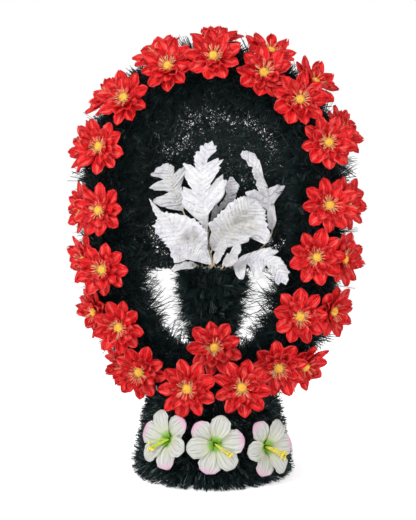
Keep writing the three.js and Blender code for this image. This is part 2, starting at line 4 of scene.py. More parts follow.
import bpy
import numpy as np
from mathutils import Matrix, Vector

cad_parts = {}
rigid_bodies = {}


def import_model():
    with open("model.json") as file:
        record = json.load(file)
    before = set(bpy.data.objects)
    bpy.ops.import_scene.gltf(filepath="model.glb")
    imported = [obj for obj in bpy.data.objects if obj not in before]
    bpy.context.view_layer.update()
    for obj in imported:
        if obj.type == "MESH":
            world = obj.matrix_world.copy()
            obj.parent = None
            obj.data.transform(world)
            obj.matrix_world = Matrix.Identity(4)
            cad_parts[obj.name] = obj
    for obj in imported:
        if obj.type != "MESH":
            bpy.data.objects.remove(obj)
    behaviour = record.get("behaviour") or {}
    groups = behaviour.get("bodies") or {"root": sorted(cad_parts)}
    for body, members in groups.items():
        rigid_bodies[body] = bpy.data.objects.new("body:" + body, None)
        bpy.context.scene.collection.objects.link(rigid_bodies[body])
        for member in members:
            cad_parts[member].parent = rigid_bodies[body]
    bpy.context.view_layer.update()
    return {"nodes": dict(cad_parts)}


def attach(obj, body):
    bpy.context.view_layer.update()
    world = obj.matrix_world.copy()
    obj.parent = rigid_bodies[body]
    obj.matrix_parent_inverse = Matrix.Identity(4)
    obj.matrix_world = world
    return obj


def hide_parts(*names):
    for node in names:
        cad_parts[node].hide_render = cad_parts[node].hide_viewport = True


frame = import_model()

MM = 0.001
UP = np.array((0.0, 0.0, 1.0))
FRONT = np.array((0.0, -1.0, 0.0))
RIGHT = np.array((1.0, 0.0, 0.0))


# Small helpers


def unit(v):
    v = np.asarray(v, float)
    return v / (np.linalg.norm(v, axis=-1, keepdims=True) + 1e-12)


def blend(a, b, k):
    return a + (b - a) * k


def node_points(name):
    """The distinct points of a CAD node, in millimetres."""
    mesh = frame["nodes"][name].data
    co = np.empty(len(mesh.vertices) * 3)
    mesh.vertices.foreach_get("co", co)
    return np.unique(np.round(co.reshape(-1, 3) / MM, 3), axis=0)


class Parts:
    """Gathers points and faces of one piece, then makes its mesh object."""

    def __init__(self):
        self.points, self.values, self.faces, self.slots = [], [], [], []
        self.count = 0

    def add(self, points, faces, slot=0, values=None):
        points = np.asarray(points, float).reshape(-1, 3)
        if values is None:
            values = np.zeros((len(points), 4))
        values = np.asarray(values, float).reshape(len(points), -1)
        if values.shape[1] == 3:
            values = np.concatenate([values, np.zeros((len(points), 1))], 1)
        self.points.append(points)
        self.values.append(values)
        for f in faces:
            self.faces.append(np.asarray(f, np.int32) + self.count)
            self.slots.append(slot)
        self.count += len(points)

    def make(self, name, materials, nodes=(), smooth=True):
        points = np.concatenate(self.points) * MM
        corners = np.concatenate([f.ravel() for f in self.faces])
        sizes = np.concatenate([np.full(len(f), f.shape[1]) for f in self.faces])
        starts = np.concatenate(([0], np.cumsum(sizes)[:-1]))
        slots = np.concatenate([np.full(len(f), s) for f, s in zip(self.faces, self.slots)])
        mesh = bpy.data.meshes.new(name)
        mesh.vertices.add(len(points))
        mesh.vertices.foreach_set("co", points.ravel())
        mesh.loops.add(len(corners))
        mesh.loops.foreach_set("vertex_index", corners.astype(np.int32))
        mesh.polygons.add(len(sizes))
        mesh.polygons.foreach_set("loop_start", starts.astype(np.int32))
        mesh.polygons.foreach_set("material_index", slots.astype(np.int32))
        mesh.polygons.foreach_set("use_smooth", np.full(len(sizes), smooth))
        mesh.update(calc_edges=True)
        values = np.concatenate(self.values)
        place = mesh.attributes.new("place", "FLOAT_VECTOR", "POINT")
        place.data.foreach_set("vector", values[:, :3].ravel())
        if values[:, 3].any():
            fold = mesh.attributes.new("fold", "FLOAT", "POINT")
            fold.data.foreach_set("value", values[:, 3].astype(np.float32))
        for m in materials:
            mesh.materials.append(m)
        obj = bpy.data.objects.new(name, mesh)
        bpy.context.scene.collection.objects.link(obj)
        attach(obj, "root")
        if nodes:
            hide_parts(*nodes)
        return obj


def shell(grid, thickness):
    """Closes a grid of points into a thin sheet."""
    rows, cols = grid.shape[:2]
    normal = unit(np.cross(np.gradient(grid, axis=0), np.gradient(grid, axis=1)))
    top = (grid + normal * thickness / 2).reshape(-1, 3)
    bottom = (grid - normal * thickness / 2).reshape(-1, 3)
    i = np.arange(rows * cols).reshape(rows, cols)
    quads = np.stack([i[:-1, :-1], i[1:, :-1], i[1:, 1:], i[:-1, 1:]], -1).reshape(-1, 4)
    n = rows * cols
    loop = np.concatenate([i[:, 0], i[-1, 1:], i[-2::-1, -1], i[0, -2:0:-1]])
    nxt = np.roll(loop, -1)
    rim = np.stack([nxt, loop, loop + n, nxt + n], -1)
    return np.concatenate([top, bottom]), [np.concatenate([quads, quads[:, ::-1] + n, rim])]


def ring_quads(rows, sides, first=0):
    """The point numbers of stacked closed rings, and the quads between the rings."""
    i = first + np.arange(rows * sides).reshape(rows, sides)
    j = np.roll(i, -1, axis=1)
    return i, np.stack([i[:-1], j[:-1], j[1:], i[1:]], -1).reshape(-1, 4)


def tube(path, radii, sides=6):
    """A closed tube along a path of points."""
    path = np.asarray(path, float)
    radii = np.broadcast_to(radii, len(path))
    along = unit(np.gradient(path, axis=0))
    ref = RIGHT if abs(along[0] @ RIGHT) < 0.8 else UP
    points = []
    for p, t, r in zip(path, along, radii):
        a = unit(np.cross(t, ref))
        b = np.cross(t, a)
        ref = np.cross(a, t)
        turn = 2 * np.pi * np.arange(sides) / sides
        points.append(p + r * (np.outer(np.cos(turn), a) + np.outer(np.sin(turn), b)))
    i, quads = ring_quads(len(path), sides)
    return np.concatenate(points), [quads, i[:1, ::-1], i[-1:]]


def to_world(points, origin, x, y, z):
    return origin + points[..., :1] * x + points[..., 1:2] * y + points[..., 2:3] * z


def curve(table, at):
    xs, ys = zip(*table)
    return np.interp(at, xs, ys)


# Materials


class Graph:
    """A material's nodes, with short forms for those that the materials share."""

    def __init__(self, name):
        self.made = bpy.data.materials.new(name)
        self.made.use_nodes = True
        self.tree = self.made.node_tree
        self.shader = self.tree.nodes["Principled BSDF"]

    def new(self, kind):
        return self.tree.nodes.new("ShaderNode" + kind)

    def link(self, a, b):
        self.tree.links.new(a, b)

    def feed(self, sockets, values):
        """Sets each socket to a number or colour, or links a node's output to it."""
        for socket, value in zip(sockets, values):
            if isinstance(value, (int, float)):
                socket.default_value = value
            elif isinstance(value, tuple):
                socket.default_value = (*value, 1.0)
            else:
                self.link(value, socket)

    def attribute(self, name, output):
        node = self.new("Attribute")
        node.attribute_name = name
        return node.outputs[output]

    def place(self):
        split = self.new("SeparateXYZ")
        self.link(self.attribute("place", "Vector"), split.inputs[0])
        return split.outputs

    def fold(self):
        return self.attribute("fold", "Fac")

    def objects(self):
        return self.new("TexCoord").outputs["Object"]

    def math(self, op, *values):
        node = self.new("Math")
        node.operation = op
        self.feed(node.inputs, values)
        return node.outputs[0]

    def times(self, a, b):
        return self.math("MULTIPLY", a, b)

    def noise(self, vector, scale, detail=2.0, rough=0.5, distortion=0.0):
        node = self.new("TexNoise")
        names = ("Vector", "Scale", "Detail", "Roughness", "Distortion")
        self.feed([node.inputs[n] for n in names], (vector, scale, detail, rough, distortion))
        return node.outputs["Fac"]

    def streaks(self, along, across, shift, detail, rough, distortion):
        """Noise in the petal's own coordinates, each a pair of a socket and a scale."""
        node = self.new("CombineXYZ")
        self.feed(node.inputs, (self.times(*along), self.times(*across), shift))
        return self.noise(node.outputs[0], 1.0, detail, rough, distortion)

    def ramp(self, fac, *stops):
        """A colour ramp; a stop is its place and its colour, or its grey as one number."""
        node = self.new("ValToRGB")
        elements = node.color_ramp.elements
        while len(elements) < len(stops):
            elements.new(0.5)
        for element, (at, colour) in zip(elements, stops):
            element.position = at
            element.color = (*colour, 1.0) if isinstance(colour, tuple) else (colour, colour, colour, 1.0)
        self.link(fac, node.inputs["Fac"])
        return node.outputs["Color"]

    def mix(self, fac, a, b):
        node = self.new("Mix")
        node.data_type = "RGBA"
        self.feed((node.inputs[0], node.inputs[6], node.inputs[7]), (fac, a, b))
        return node.outputs[2]

    def bump(self, height, distance, strength=1.0, normal=None):
        node = self.new("Bump")
        self.feed([node.inputs[n] for n in ("Height", "Distance", "Strength")], (height, distance, strength))
        if normal is not None:
            self.link(normal, node.inputs["Normal"])
        return node.outputs["Normal"]

    def surface(self, colour, roughness, specular=0.5, normal=None):
        """Feeds the material's shader, and hands back the material."""
        names = ("Base Color", "Roughness", "Specular IOR Level")
        self.feed([self.shader.inputs[n] for n in names], (colour, roughness, specular))
        if normal is not None:
            self.link(normal, self.shader.inputs["Normal"])
        return self.made


def needle_material():
    """Cut plastic needles: place holds the share of the needle's length, a shade and a tint; the shade is a
    random tone, and its pale end is painted glints.
    """
    g = Graph("fir_needles")
    along, shade, tint = g.place()
    # Dark random tones; the palest stop is the colour of the painted glints.
    dark = g.ramp(shade, (0.0, (0.0014, 0.0034, 0.0042)), (0.40, (0.0062, 0.0140, 0.0152)),
                  (0.68, (0.026, 0.050, 0.052)), (1.0, (0.17, 0.22, 0.22)))
    tip = g.mix(g.times(along, 0.25), dark, (0.016, 0.034, 0.036))
    green = g.mix(g.times(tint, 0.35), tip, (0.002, 0.013, 0.013))
    return g.surface(green, 0.5, 0.25)


def core_material():
    """The wound stems under the needles, near black with a coarse broken surface."""
    g = Graph("fir_core")
    rough = g.noise(g.objects(), 160.0, 4.0, 0.7)
    dark = g.ramp(rough, (0.35, (0.0010, 0.0022, 0.0022)), (0.7, (0.006, 0.011, 0.010)))
    return g.surface(dark, 0.85, 0.15, g.bump(rough, 0.006))


def dahlia_material():
    """Glazed red fabric: place holds the share along the petal, across it, and a random number."""
    g = Graph("dahlia_red")
    along, across, chance = g.place()
    shift = g.times(chance, 57.0)
    streak = g.streaks((along, 1.6), (across, 7.0), shift, 3.0, 0.6, 0.3)
    fine = g.streaks((along, 5.0), (across, 26.0), shift, 2.0, 0.5, 0.4)
    weave = g.noise(g.objects(), 900.0, 1.0)
    crumple = g.noise(g.objects(), 120.0, 3.0, 0.6, 0.6)
    fold = g.fold()
    red = g.ramp(streak, (0.28, (0.36, 0.001, 0.004)), (0.43, (0.72, 0.003, 0.008)),
                 (0.58, (0.87, 0.006, 0.010)), (0.76, (0.95, 0.045, 0.042)))
    # Painted shade near the eye, in the valleys of the folds and in the cracks; painted highlights on the
    # ridges and pleats.
    painted_eye_shade = g.mix(g.ramp(along, (0.05, 0.8), (0.42, 0.0)), red, (0.30, 0.001, 0.004))
    painted_fold_shade = g.mix(g.ramp(fold, (0.02, 0.85), (0.34, 0.0)), painted_eye_shade, (0.20, 0.0006, 0.003))
    # Painted highlight on the ridges of the folds.
    ridge = g.times(g.ramp(fold, (0.60, 0.0), (0.90, 1.0)), g.ramp(streak, (0.34, 0.05), (0.6, 1.0)))
    lit = g.mix(g.times(ridge, 0.72), painted_fold_shade, (1.0, 0.22, 0.19))
    # Painted highlight on the pleats.
    pleat_highlight = g.times(g.ramp(fine, (0.56, 0.0), (0.68, 0.75)), g.ramp(along, (0.30, 0.0), (0.75, 1.0)))
    lit = g.mix(pleat_highlight, lit, (1.0, 0.18, 0.15))
    # Painted shade in the cracks.
    lit = g.mix(g.ramp(fine, (0.30, 0.7), (0.42, 0.0)), lit, (0.34, 0.001, 0.004))
    colour = g.mix(g.times(chance, 0.16), lit, (0.80, 0.004, 0.016))
    normal = g.bump(streak, 0.0036, 0.9, g.bump(crumple, 0.0045, 0.8))
    normal = g.bump(weave, 0.00015, 0.5, g.bump(fine, 0.0012, 0.8, normal))
    return g.surface(colour, g.math("MULTIPLY_ADD", fine, 0.25, 0.24), 0.16, normal)


def eye_material():
    g = Graph("dahlia_eye")
    at = g.objects()
    grain = g.noise(at, 620.0, 3.0, 0.6)
    patch = g.noise(at, 190.0, 2.0)
    base = g.ramp(grain, (0.32, (0.58, 0.26, 0.012)), (0.5, (0.88, 0.50, 0.035)), (0.7, (0.95, 0.72, 0.16)))
    colour = g.mix(g.ramp(patch, (0.4, 0.0), (0.7, 0.6)), base, (0.86, 0.36, 0.03))
    return g.surface(colour, 0.7, normal=g.bump(grain, 0.0012))


def plain_material(name, low, high, scale, roughness):
    g = Graph(name)
    grain = g.noise(g.objects(), scale, 2.0)
    return g.surface(g.ramp(grain, (0.35, low), (0.68, high)), roughness, normal=g.bump(grain, 0.0003))


def lily_material():
    """Glazed white fabric: place holds along, across, and 1 for the petals with pink ends."""
    g = Graph("lily_white")
    along, across, pink = g.place()
    rib = g.streaks((along, 1.2), (across, 7.0), 3.0, 3.0, 0.6, 0.2)
    weave = g.noise(g.objects(), 700.0, 2.0)
    white = g.ramp(rib, (0.30, (0.25, 0.26, 0.22)), (0.46, (0.44, 0.45, 0.41)), (0.60, (0.56, 0.56, 0.54)))
    cream = g.mix(g.ramp(along, (0.2, 0.6), (0.6, 0.0)), white, (0.60, 0.63, 0.40))
    green = g.mix(g.ramp(along, (0.05, 1.0), (0.14, 0.8), (0.27, 0.0)), cream, (0.20, 0.46, 0.012))
    ends = g.times(g.ramp(along, (0.70, 0.0), (0.95, 1.0)), pink)
    blush = g.times(ends, g.ramp(rib, (0.25, 0.35), (0.6, 1.0)))
    colour = g.mix(g.times(blush, 0.85), green, (0.66, 0.32, 0.50))
    g.shader.inputs["Subsurface Weight"].default_value = 0.12
    g.shader.inputs["Subsurface Scale"].default_value = 0.003
    return g.surface(colour, 0.42, normal=g.bump(weave, 0.0002, 0.5, g.bump(rib, 0.0024, 0.9)))


# The side veins of a leaf, both in its relief and in its shading.
VEINS = 17.0


def leaf_material():
    """Flocked white leaf: place holds along, across and a share of painted shade."""
    g = Graph("leaf_white")
    along, across, painted_shade = g.place()
    flock = g.noise(g.objects(), 520.0, 3.0, 0.65)
    soft = g.noise(g.objects(), 26.0, 2.0)
    crumple = g.noise(g.objects(), 75.0, 4.0, 0.6, 0.5)
    wave = g.math("SINE", g.times(g.times(along, VEINS), math.pi))
    vein = g.math("POWER", g.math("ABSOLUTE", wave), 0.5)
    white = g.ramp(flock, (0.3, (0.57, 0.57, 0.59)), (0.6, (0.70, 0.70, 0.72)))
    cool = g.mix(g.ramp(soft, (0.42, 0.0), (0.7, 0.6)), white, (0.50, 0.48, 0.56))
    # Painted shade along the furrows of the side veins.
    painted_furrow_shade = g.mix(g.ramp(vein, (0.0, 0.45), (0.5, 0.0)), cool, (0.44, 0.43, 0.46))
    # Painted shade, beige, in the middle of the cupped blade and in its hollow.
    cream = g.mix(painted_shade, painted_furrow_shade, (0.35, 0.33, 0.27))
    rib = g.ramp(g.math("ABSOLUTE", across), (0.02, 0.55), (0.08, 0.0))
    colour = g.mix(g.times(rib, g.fold()), cream, (0.60, 0.55, 0.38))
    normal = g.bump(crumple, 0.010, 0.9, g.bump(vein, 0.0017, 0.8))
    return g.surface(colour, 0.85, normal=g.bump(flock, 0.0005, 0.6, normal))


NEEDLES = needle_material()
CORE = core_material()
RED = dahlia_material()
EYE = eye_material()
FILAMENT = plain_material("dahlia_filament", (0.72, 0.46, 0.20), (0.92, 0.74, 0.42), 300.0, 0.6)
CALYX = plain_material("stem_green", (0.010, 0.045, 0.014), (0.03, 0.10, 0.03), 200.0, 0.6)
LILY = lily_material()
STAMEN = plain_material("lily_stamen", (0.36, 0.56, 0.02), (0.62, 0.72, 0.06), 240.0, 0.5)
STAMEN_YELLOW = plain_material("lily_stamen_yellow", (0.60, 0.50, 0.03), (0.82, 0.74, 0.16), 240.0, 0.5)
ANTHER = plain_material("lily_anther", (0.66, 0.52, 0.01), (0.86, 0.76, 0.05), 420.0, 0.7)
LEAF = leaf_material()
LEAF_STEM = plain_material("leaf_stem", (0.36, 0.28, 0.17), (0.74, 0.66, 0.46), 220.0, 0.8)


# Fir garland


# How far every needle stays above the floor, in millimetres, as all lengths in this section are.
FLOOR_GAP = 0.2
# How many needles one tuft has; they share the tuft's draws.
TUFT = 5
# How far a flower's petals rise over their underside; no needle starts there.
HEAD_DEPTH = 40
# A needle that a flower shortens ends this far from it, and keeps at least this length.
HEAD_GAP, SHORTEST = 1.0, 3.0


def needles(base, direction, length, width, shade, rng):
    """Closed strips of cut film, each with a quarter twist: four points and four faces."""
    n = len(base)
    direction = unit(direction)
    helper = unit(rng.normal(size=(n, 3)))
    a = unit(np.cross(direction, helper))
    b = np.cross(direction, a)
    half = (width / 2)[:, None]
    end = base + direction * length[:, None]
    points = np.stack([base + half * a, base - half * a, end + 0.6 * half * b, end - 0.6 * half * b], 1)
    i = 4 * np.arange(n)[:, None]
    faces = np.concatenate([i + (0, 1, 2), i + (1, 0, 3), i + (2, 3, 0), i + (3, 2, 1)])
    values = np.zeros((n, 4, 3))
    values[:, 2:, 0] = 1.0
    values[:, :, 1] = shade[:, None]
    values[:, :, 2] = rng.random(n)[:, None]
    return points.reshape(-1, 3), [faces], values.reshape(-1, 3)


def needle_piece(name, rng, base, direction, length, width, shade, nodes=()):
    """Makes the mesh of one piece of needles."""
    points, faces, values = needles(base, direction, length, width, shade, rng)
    points[:, 2] = np.maximum(points[:, 2], FLOOR_GAP)
    parts = Parts()
    parts.add(points, faces, 0, values)
    parts.make(name, [NEEDLES], nodes, smooth=False)


def tuft(count, draw):
    """One draw for each tuft of needles, repeated over the needles of that tuft."""
    return np.repeat(draw(count // TUFT + 1), TUFT, axis=0)[:count]


def tuft_uniform(count, low, high, rng):
    return tuft(count, lambda n: rng.uniform(low, high, n))


def tuft_shades(count, rng):
    shade = tuft(count, lambda n: rng.beta(1.2, 2.8, n)) + rng.normal(0, 0.14, count)
    return np.clip(shade, 0.0, 1.0)


def painted_glints(shade, by, share, rng):
    """Paints highlights: makes a share of the needles paler, as painted glints."""
    return np.clip(shade + by * (rng.random(len(shade)) < share), 0, 1)


def tuft_lengths(count, reach, rng):
    """Most tufts are short of the reach, and about one in six stands out past it."""
    def draw(n):
        return np.where(rng.random(n) < 0.16, rng.uniform(1.2, 1.6, n), rng.uniform(0.6, 1.0, n))
    return reach * tuft(count, draw) * rng.uniform(0.82, 1.05, count)


def brush(wire, out, count, reach, fan, rng, lean=0.12):
    """Tufts of needles that stand round a wire, on its outer side.

    wire and out are functions of a share of the wire's length: the wire's point, and the way
    out of the body there. The tufts fan about the wire up to `fan` radians from `out`.
    """
    share = tuft(count, rng.random) + rng.normal(0, 0.00025, count)
    here = wire(share)
    along = unit(wire(share + 1e-4) - here)
    outward = out(share)
    outward = unit(outward - along * (outward * along).sum(1, keepdims=True))
    side = np.cross(along, outward)
    angle = (tuft_uniform(count, -fan, fan, rng) + rng.normal(0, 0.14, count))[:, None]
    direction = outward * np.cos(angle) + side * np.sin(angle)
    tilt = tuft(count, lambda n: rng.normal(lean, 0.34, n)) + rng.normal(0, 0.10, count)
    direction = direction + along * tilt[:, None] + rng.normal(0, 0.06, (count, 3))
    return here, unit(direction), tuft_lengths(count, reach, rng), tuft_shades(count, rng)


def clear_heads(base, direction, length, *others):
    """Shortens the needles that would pass through a flower, and drops those that start in one."""
    keep = np.ones(len(base), bool)
    for origin, z, reach, rise in HEADS:
        off = base - origin
        high = off @ z - rise
        far = np.linalg.norm(off - (off @ z)[:, None] * z, axis=1)
        keep &= ~((high >= 0) & (high < HEAD_DEPTH) & (far < reach))
        speed = direction @ z
        t = np.where(speed > 1e-3, -high / np.maximum(speed, 1e-3), np.inf)
        near = (high < 0) & (t < length)
        hit = off[near] + direction[near] * t[near][:, None]
        hit = np.linalg.norm(hit - (hit @ z)[:, None] * z, axis=1)
        index = np.flatnonzero(near)[hit < reach]
        length[index] = np.maximum(t[index] - HEAD_GAP, SHORTEST)
    return [v[keep] for v in (base, direction, length, *others)]


def ring_line():
    """The middle of the ring's band, on the curves that the CAD ring is built from."""
    half_width, widest, top, bottom = 235.0, 650.0, 894.0, 203.0
    side_pull, bottom_pull = 195.0, 228.0
    t = np.linspace(0, 1, 200)[:, None]
    turn = t * np.pi / 2
    quarter = np.concatenate([half_width * np.sin(turn), widest + (top - widest) * np.cos(turn)], 1)
    p0, p1 = np.array((half_width, widest)), np.array((half_width, widest - side_pull))
    p2, p3 = np.array((bottom_pull, bottom)), np.array((0.0, bottom))
    lower = (1 - t) ** 3 * p0 + 3 * (1 - t) ** 2 * t * p1 + 3 * (1 - t) * t**2 * p2 + t**3 * p3
    right = np.concatenate([quarter, lower[1:]])
    left = right[-2:0:-1] * (-1, 1)
    line = np.concatenate([right, left])
    closed = np.concatenate([line, line[:1]])
    length = np.concatenate(([0], np.cumsum(np.linalg.norm(np.diff(closed, axis=0), axis=1))))
    return closed, length


RING_LINE, RING_LENGTH = ring_line()


def ring_at(share):
    """The ring's centre and the way outwards at shares of its length, clockwise from the top."""
    at = np.mod(share, 1.0) * RING_LENGTH[-1]
    step = 0.5

    def point(s):
        s = np.mod(s, RING_LENGTH[-1])
        return np.stack([np.interp(s, RING_LENGTH, RING_LINE[:, k]) for k in (0, 1)], -1)

    p = point(at)
    t = unit(point(at + step) - point(at - step))
    zero = np.zeros_like(p[..., 0])
    return np.stack([p[..., 0], zero, p[..., 1]], -1), np.stack([-t[..., 1], zero, t[..., 0]], -1)


def band(angle, half_width, half_depth, squareness=2.6):
    """Point of the band's rounded section: how far outwards and how far to the front."""
    def rounded(v):
        return np.sign(v) * np.abs(v) ** (2 / squareness)
    return half_width * rounded(np.cos(angle)), half_depth * rounded(np.sin(angle))


def ring_garland():
    turns, reach, fan = 50, 42.0, 1.35
    wire_in, wire_deep = 37.0, 34.0
    core_in, core_deep = 45.0, 42.0

    def place(share):
        centre, outward = ring_at(share)
        angle = 2 * np.pi * turns * share
        wobble = 2.0 * np.sin(7.3 * angle + 1.0)
        u, v = band(angle, wire_in + wobble, wire_deep + wobble)
        return centre, outward, u, v, angle

    def wire(share):
        centre, outward, u, v, _ = place(share)
        return centre + outward * u[:, None] + FRONT * v[:, None]

    def out(share):
        _, outward, _, _, angle = place(share)
        return unit(outward * np.cos(angle)[:, None] + FRONT * np.sin(angle)[:, None])

    rng = np.random.RandomState(11)
    total = 57000
    base, direction, length, shade = brush(wire, out, total, reach, fan, rng)
    # Beside the post the needles that point inwards are longer.
    low = np.clip((base[:, 2] - 290) / 40, 0, 1) * np.clip((480 - base[:, 2]) / 60, 0, 1)
    inwards = np.clip(-direction[:, 0] * np.sign(base[:, 0]) * 1.6, 0, 1)
    length = length * (1 + low * inwards * np.where(base[:, 0] > 0, 0.75, 0.30))
    base, direction, length, shade = clear_heads(base, direction, length, shade)
    total = len(base)
    width = rng.uniform(1.4, 2.5, total)
    # A tenth of the ring's needles are made paler, as painted glints.
    shade = painted_glints(shade, 0.22, 0.10, rng)
    # The longest needles are seen against the light, so they are darker.
    shade = np.where(length > 46, 0.55 * shade, shade)
    # Two pieces, each under the limit of faces for one piece.
    half = total // 2
    for name, pick in (("right", slice(half)), ("left", slice(half, None))):
        values = (v[pick] for v in (base, direction, length, width, shade))
        needle_piece("fir_ring_needles_" + name, rng, *values)

    # The wound body under the needles.
    steps, sides = 220, 28
    share = (np.arange(steps) / steps)[:, None] + np.zeros((1, sides))
    angle = 2 * np.pi * np.arange(sides)[None, :] / sides + np.zeros((steps, 1))
    centre, outward = ring_at(share)
    groove = 2.5 * np.cos(angle - 2 * np.pi * turns * share) + rng.normal(0, 0.8, share.shape)
    u, v = band(angle, core_in + groove, core_deep + groove)
    points = centre + outward * u[..., None] + FRONT * v[..., None]
    i = np.arange(steps * sides).reshape(steps, sides)
    quads = np.stack([i, np.roll(i, -1, 1), np.roll(np.roll(i, -1, 0), -1, 1), np.roll(i, -1, 0)], -1)
    parts = Parts()
    parts.add(points, [quads.reshape(-1, 4)])
    parts.make("fir_ring_core", [CORE], ["fir_ring"])


def around(radius, turn, z):
    """Points, or ways, round the upright axis; a turn of 0 is the front."""
    return np.stack(np.broadcast_arrays(radius * np.sin(turn), -radius * np.cos(turn), z), -1)


def cone_garland(radius, low, high, rows, count, reach, drop, rng, floor=None):
    """Garland wound level round a cone; radius is a function of the height."""
    def wire(share):
        z = blend(low, high, share)
        return around(radius(z), 2 * np.pi * rows * share, z)

    def out(share):
        return unit(around(1.0, 2 * np.pi * rows * share, -drop))

    base, direction, length, shade = brush(wire, out, count, reach, 1.3, rng, 0.1)
    if floor is not None:
        above = base[:, 2] > floor
        base, direction, length, shade = (v[above] for v in (base, direction, length, shade))
        # Needles that would reach the floor bend along it.
        bent = base[:, 2] + direction[:, 2] * length < floor
        rest = floor + rng.uniform(0, 6, len(base))
        slope = np.clip((rest - base[:, 2]) / length, -0.95, 0.95)
        level = unit(direction[:, :2]) * np.sqrt(1 - slope**2)[:, None]
        direction[bent] = np.concatenate([level, slope[:, None]], 1)[bent]
    return base, direction, length, shade


def crown(count, radius, inner, height, blur, lean, spread, rng):
    """Tufts that stand up from a flat round top; inner: the share of its area left free."""
    turn = tuft_uniform(count, 0, 2 * np.pi, rng) + rng.normal(0, blur, count)
    r = radius * np.sqrt(tuft_uniform(count, inner, 1.0, rng))
    up = around(lean, turn, 1.0) + tuft(count, lambda n: rng.normal(0, spread, (n, 3)))
    return around(r, turn, height), unit(up + rng.normal(0, 0.1, (count, 3)))


def cone_core(name, node, z, r, cap, rough, sides, rng):
    """The wound body inside a cone's needles; cap: how far its top is drawn in and rises."""
    inward, rise = cap
    top = z[-1] + rise
    profile = [(0.0, z[0])] + list(zip(r, z)) + [(r[-1] - inward, top), (0.0, top)]
    parts = Parts()
    parts.add(*lathe(profile, sides, rng, rough))
    parts.make(name, [CORE], [node])


FOOT_RADIUS, FOOT_TOP_RADIUS, FOOT_HEIGHT = 174.0, 146.0, 168.0


def foot_garland():
    rows, reach, drop, longest = 7, 37.0, 0.75, 38.0
    slope = (FOOT_RADIUS - FOOT_TOP_RADIUS) / FOOT_HEIGHT
    rng = np.random.RandomState(21)

    def body(z):
        return FOOT_RADIUS - slope * z

    def wire_radius(z):
        return body(z) - 22.0 - 5.0 * z / FOOT_HEIGHT

    count = 25000
    base, direction, length, shade = cone_garland(
        wire_radius, 10.0, 158.0, rows, count, reach, drop, rng, 0.6)
    length = np.minimum(length, longest)
    # The top of the foot, outside the ring's saddle.
    more, saddle = count // 4, 52.0
    top, up = crown(more, 128.0, 0.1, 142.0, 0.02, 0.5, 0.45, rng)
    keep = np.abs(top[:, 1]) > saddle
    # The fringe round the bottom edge, spread over the ground and longest at the front.
    edge, edge_radius = 4200, 147
    round_at = tuft_uniform(edge, 0, 2 * np.pi, rng)
    splay = round_at + tuft(edge, lambda n: rng.normal(0, 0.3, n)) + rng.normal(0, 0.1, edge)
    height = tuft_uniform(edge, 2, 42, rng)
    spread = tuft_uniform(edge, 23, 37, rng) * rng.uniform(0.85, 1.05, edge)
    spread = spread * (1 + 0.32 * np.clip(np.cos(round_at), 0, 1) ** 2)
    fall = np.clip((rng.uniform(0.6, 5.0, edge) - height) / spread, -0.5, 0)
    fringe = around(np.sqrt(1 - fall**2), splay, fall)
    base = np.concatenate([base, top[keep], around(edge_radius, round_at, height)])
    direction = np.concatenate([direction, up[keep], fringe])
    length = np.concatenate([length, rng.uniform(16, 32, keep.sum()), spread])
    shade = np.concatenate([shade, tuft_shades(more, rng)[keep], tuft_shades(edge, rng)])
    base, direction, length, shade = clear_heads(base, direction, length, shade)
    width = rng.uniform(1.6, 2.8, len(base))
    # Nearly a fifth of the foot's needles are made paler, as painted glints.
    needle_piece("fir_foot_needles", rng, base, direction, length, width, painted_glints(shade, 0.6, 0.18, rng))

    # The wound body: a ridged cone, drawn in at its flat underside.
    z = np.linspace(0.0, 148.0, 44)
    ridge = 2.0 * np.cos(2 * np.pi * rows * (z - 14.0) / 144.0)
    r = body(z) - 18.0 + ridge - 10.0 * np.clip(1 - z / 14.0, 0, 1)
    cone_core("fir_foot_core", "fir_foot", z, r, (12.0, 4.0), 0.7, 96, rng)


def lathe(profile, sides, rng, rough):
    """Turns a profile of (radius, height) that starts and ends on the axis into a closed body."""
    inner = profile[1:-1]
    turn = 2 * np.pi * np.arange(sides) / sides
    points = [np.array([[0.0, 0.0, profile[0][1]]])]
    for r, z in inner:
        rr = r + rng.normal(0, rough, sides) * (z > profile[0][1])
        points.append(np.stack([rr * np.cos(turn), rr * np.sin(turn), np.full(sides, z)], -1))
    points.append(np.array([[0.0, 0.0, profile[-1][1]]]))
    i, quads = ring_quads(len(inner), sides, 1)
    last = 1 + len(inner) * sides
    first_cap = np.stack([np.zeros(sides, int), np.roll(i[0], -1), i[0]], -1)
    last_cap = np.stack([np.full(sides, last), i[-1], np.roll(i[-1], -1)], -1)
    return np.concatenate(points), [quads, first_cap, last_cap]


POST_FOOT_RADIUS, POST_TOP_RADIUS = 33.0, 80.0
POST_FOOT_HEIGHT, POST_TOP_HEIGHT = 203.0, 449.0


def post_garland():
    rows, reach, drop = 6, 34.0, 0.1
    low, high = 262.0, 438.0
    rng = np.random.RandomState(31)

    def body(z):
        share = (z - POST_FOOT_HEIGHT) / (POST_TOP_HEIGHT - POST_FOOT_HEIGHT)
        return POST_FOOT_RADIUS + (POST_TOP_RADIUS - POST_FOOT_RADIUS) * share

    def wire_radius(z):
        return body(z) - 20.0 + 9.0 * (z - low) / (high - low)

    count = 9000
    base, direction, length, shade = cone_garland(wire_radius, low, high, rows, count, reach, drop, rng)
    more = count // 4
    top, up = crown(more, 66.0, 0.05, 432.0, 0.03, 0.6, 0.5, rng)
    base = np.concatenate([base, top])
    direction = np.concatenate([direction, up])
    length = np.concatenate([length, rng.uniform(10, 22, more)])
    shade = np.concatenate([shade, tuft_shades(more, rng)])
    base, direction, length, shade = clear_heads(base, direction, length, shade)
    width = rng.uniform(1.2, 2.0, len(base))
    needle_piece("fir_post_needles", rng, base, direction, length, width, shade)
    z = np.linspace(256.0, 436.0, 30)
    wound = (z - low) / (high - low)
    r = body(z) - 18.0 + 8.0 * wound + 1.6 * np.cos(2 * np.pi * rows * wound)
    cone_core("fir_post_core", "fir_post", z, r, (8.0, 4.0), 0.6, 48, rng)


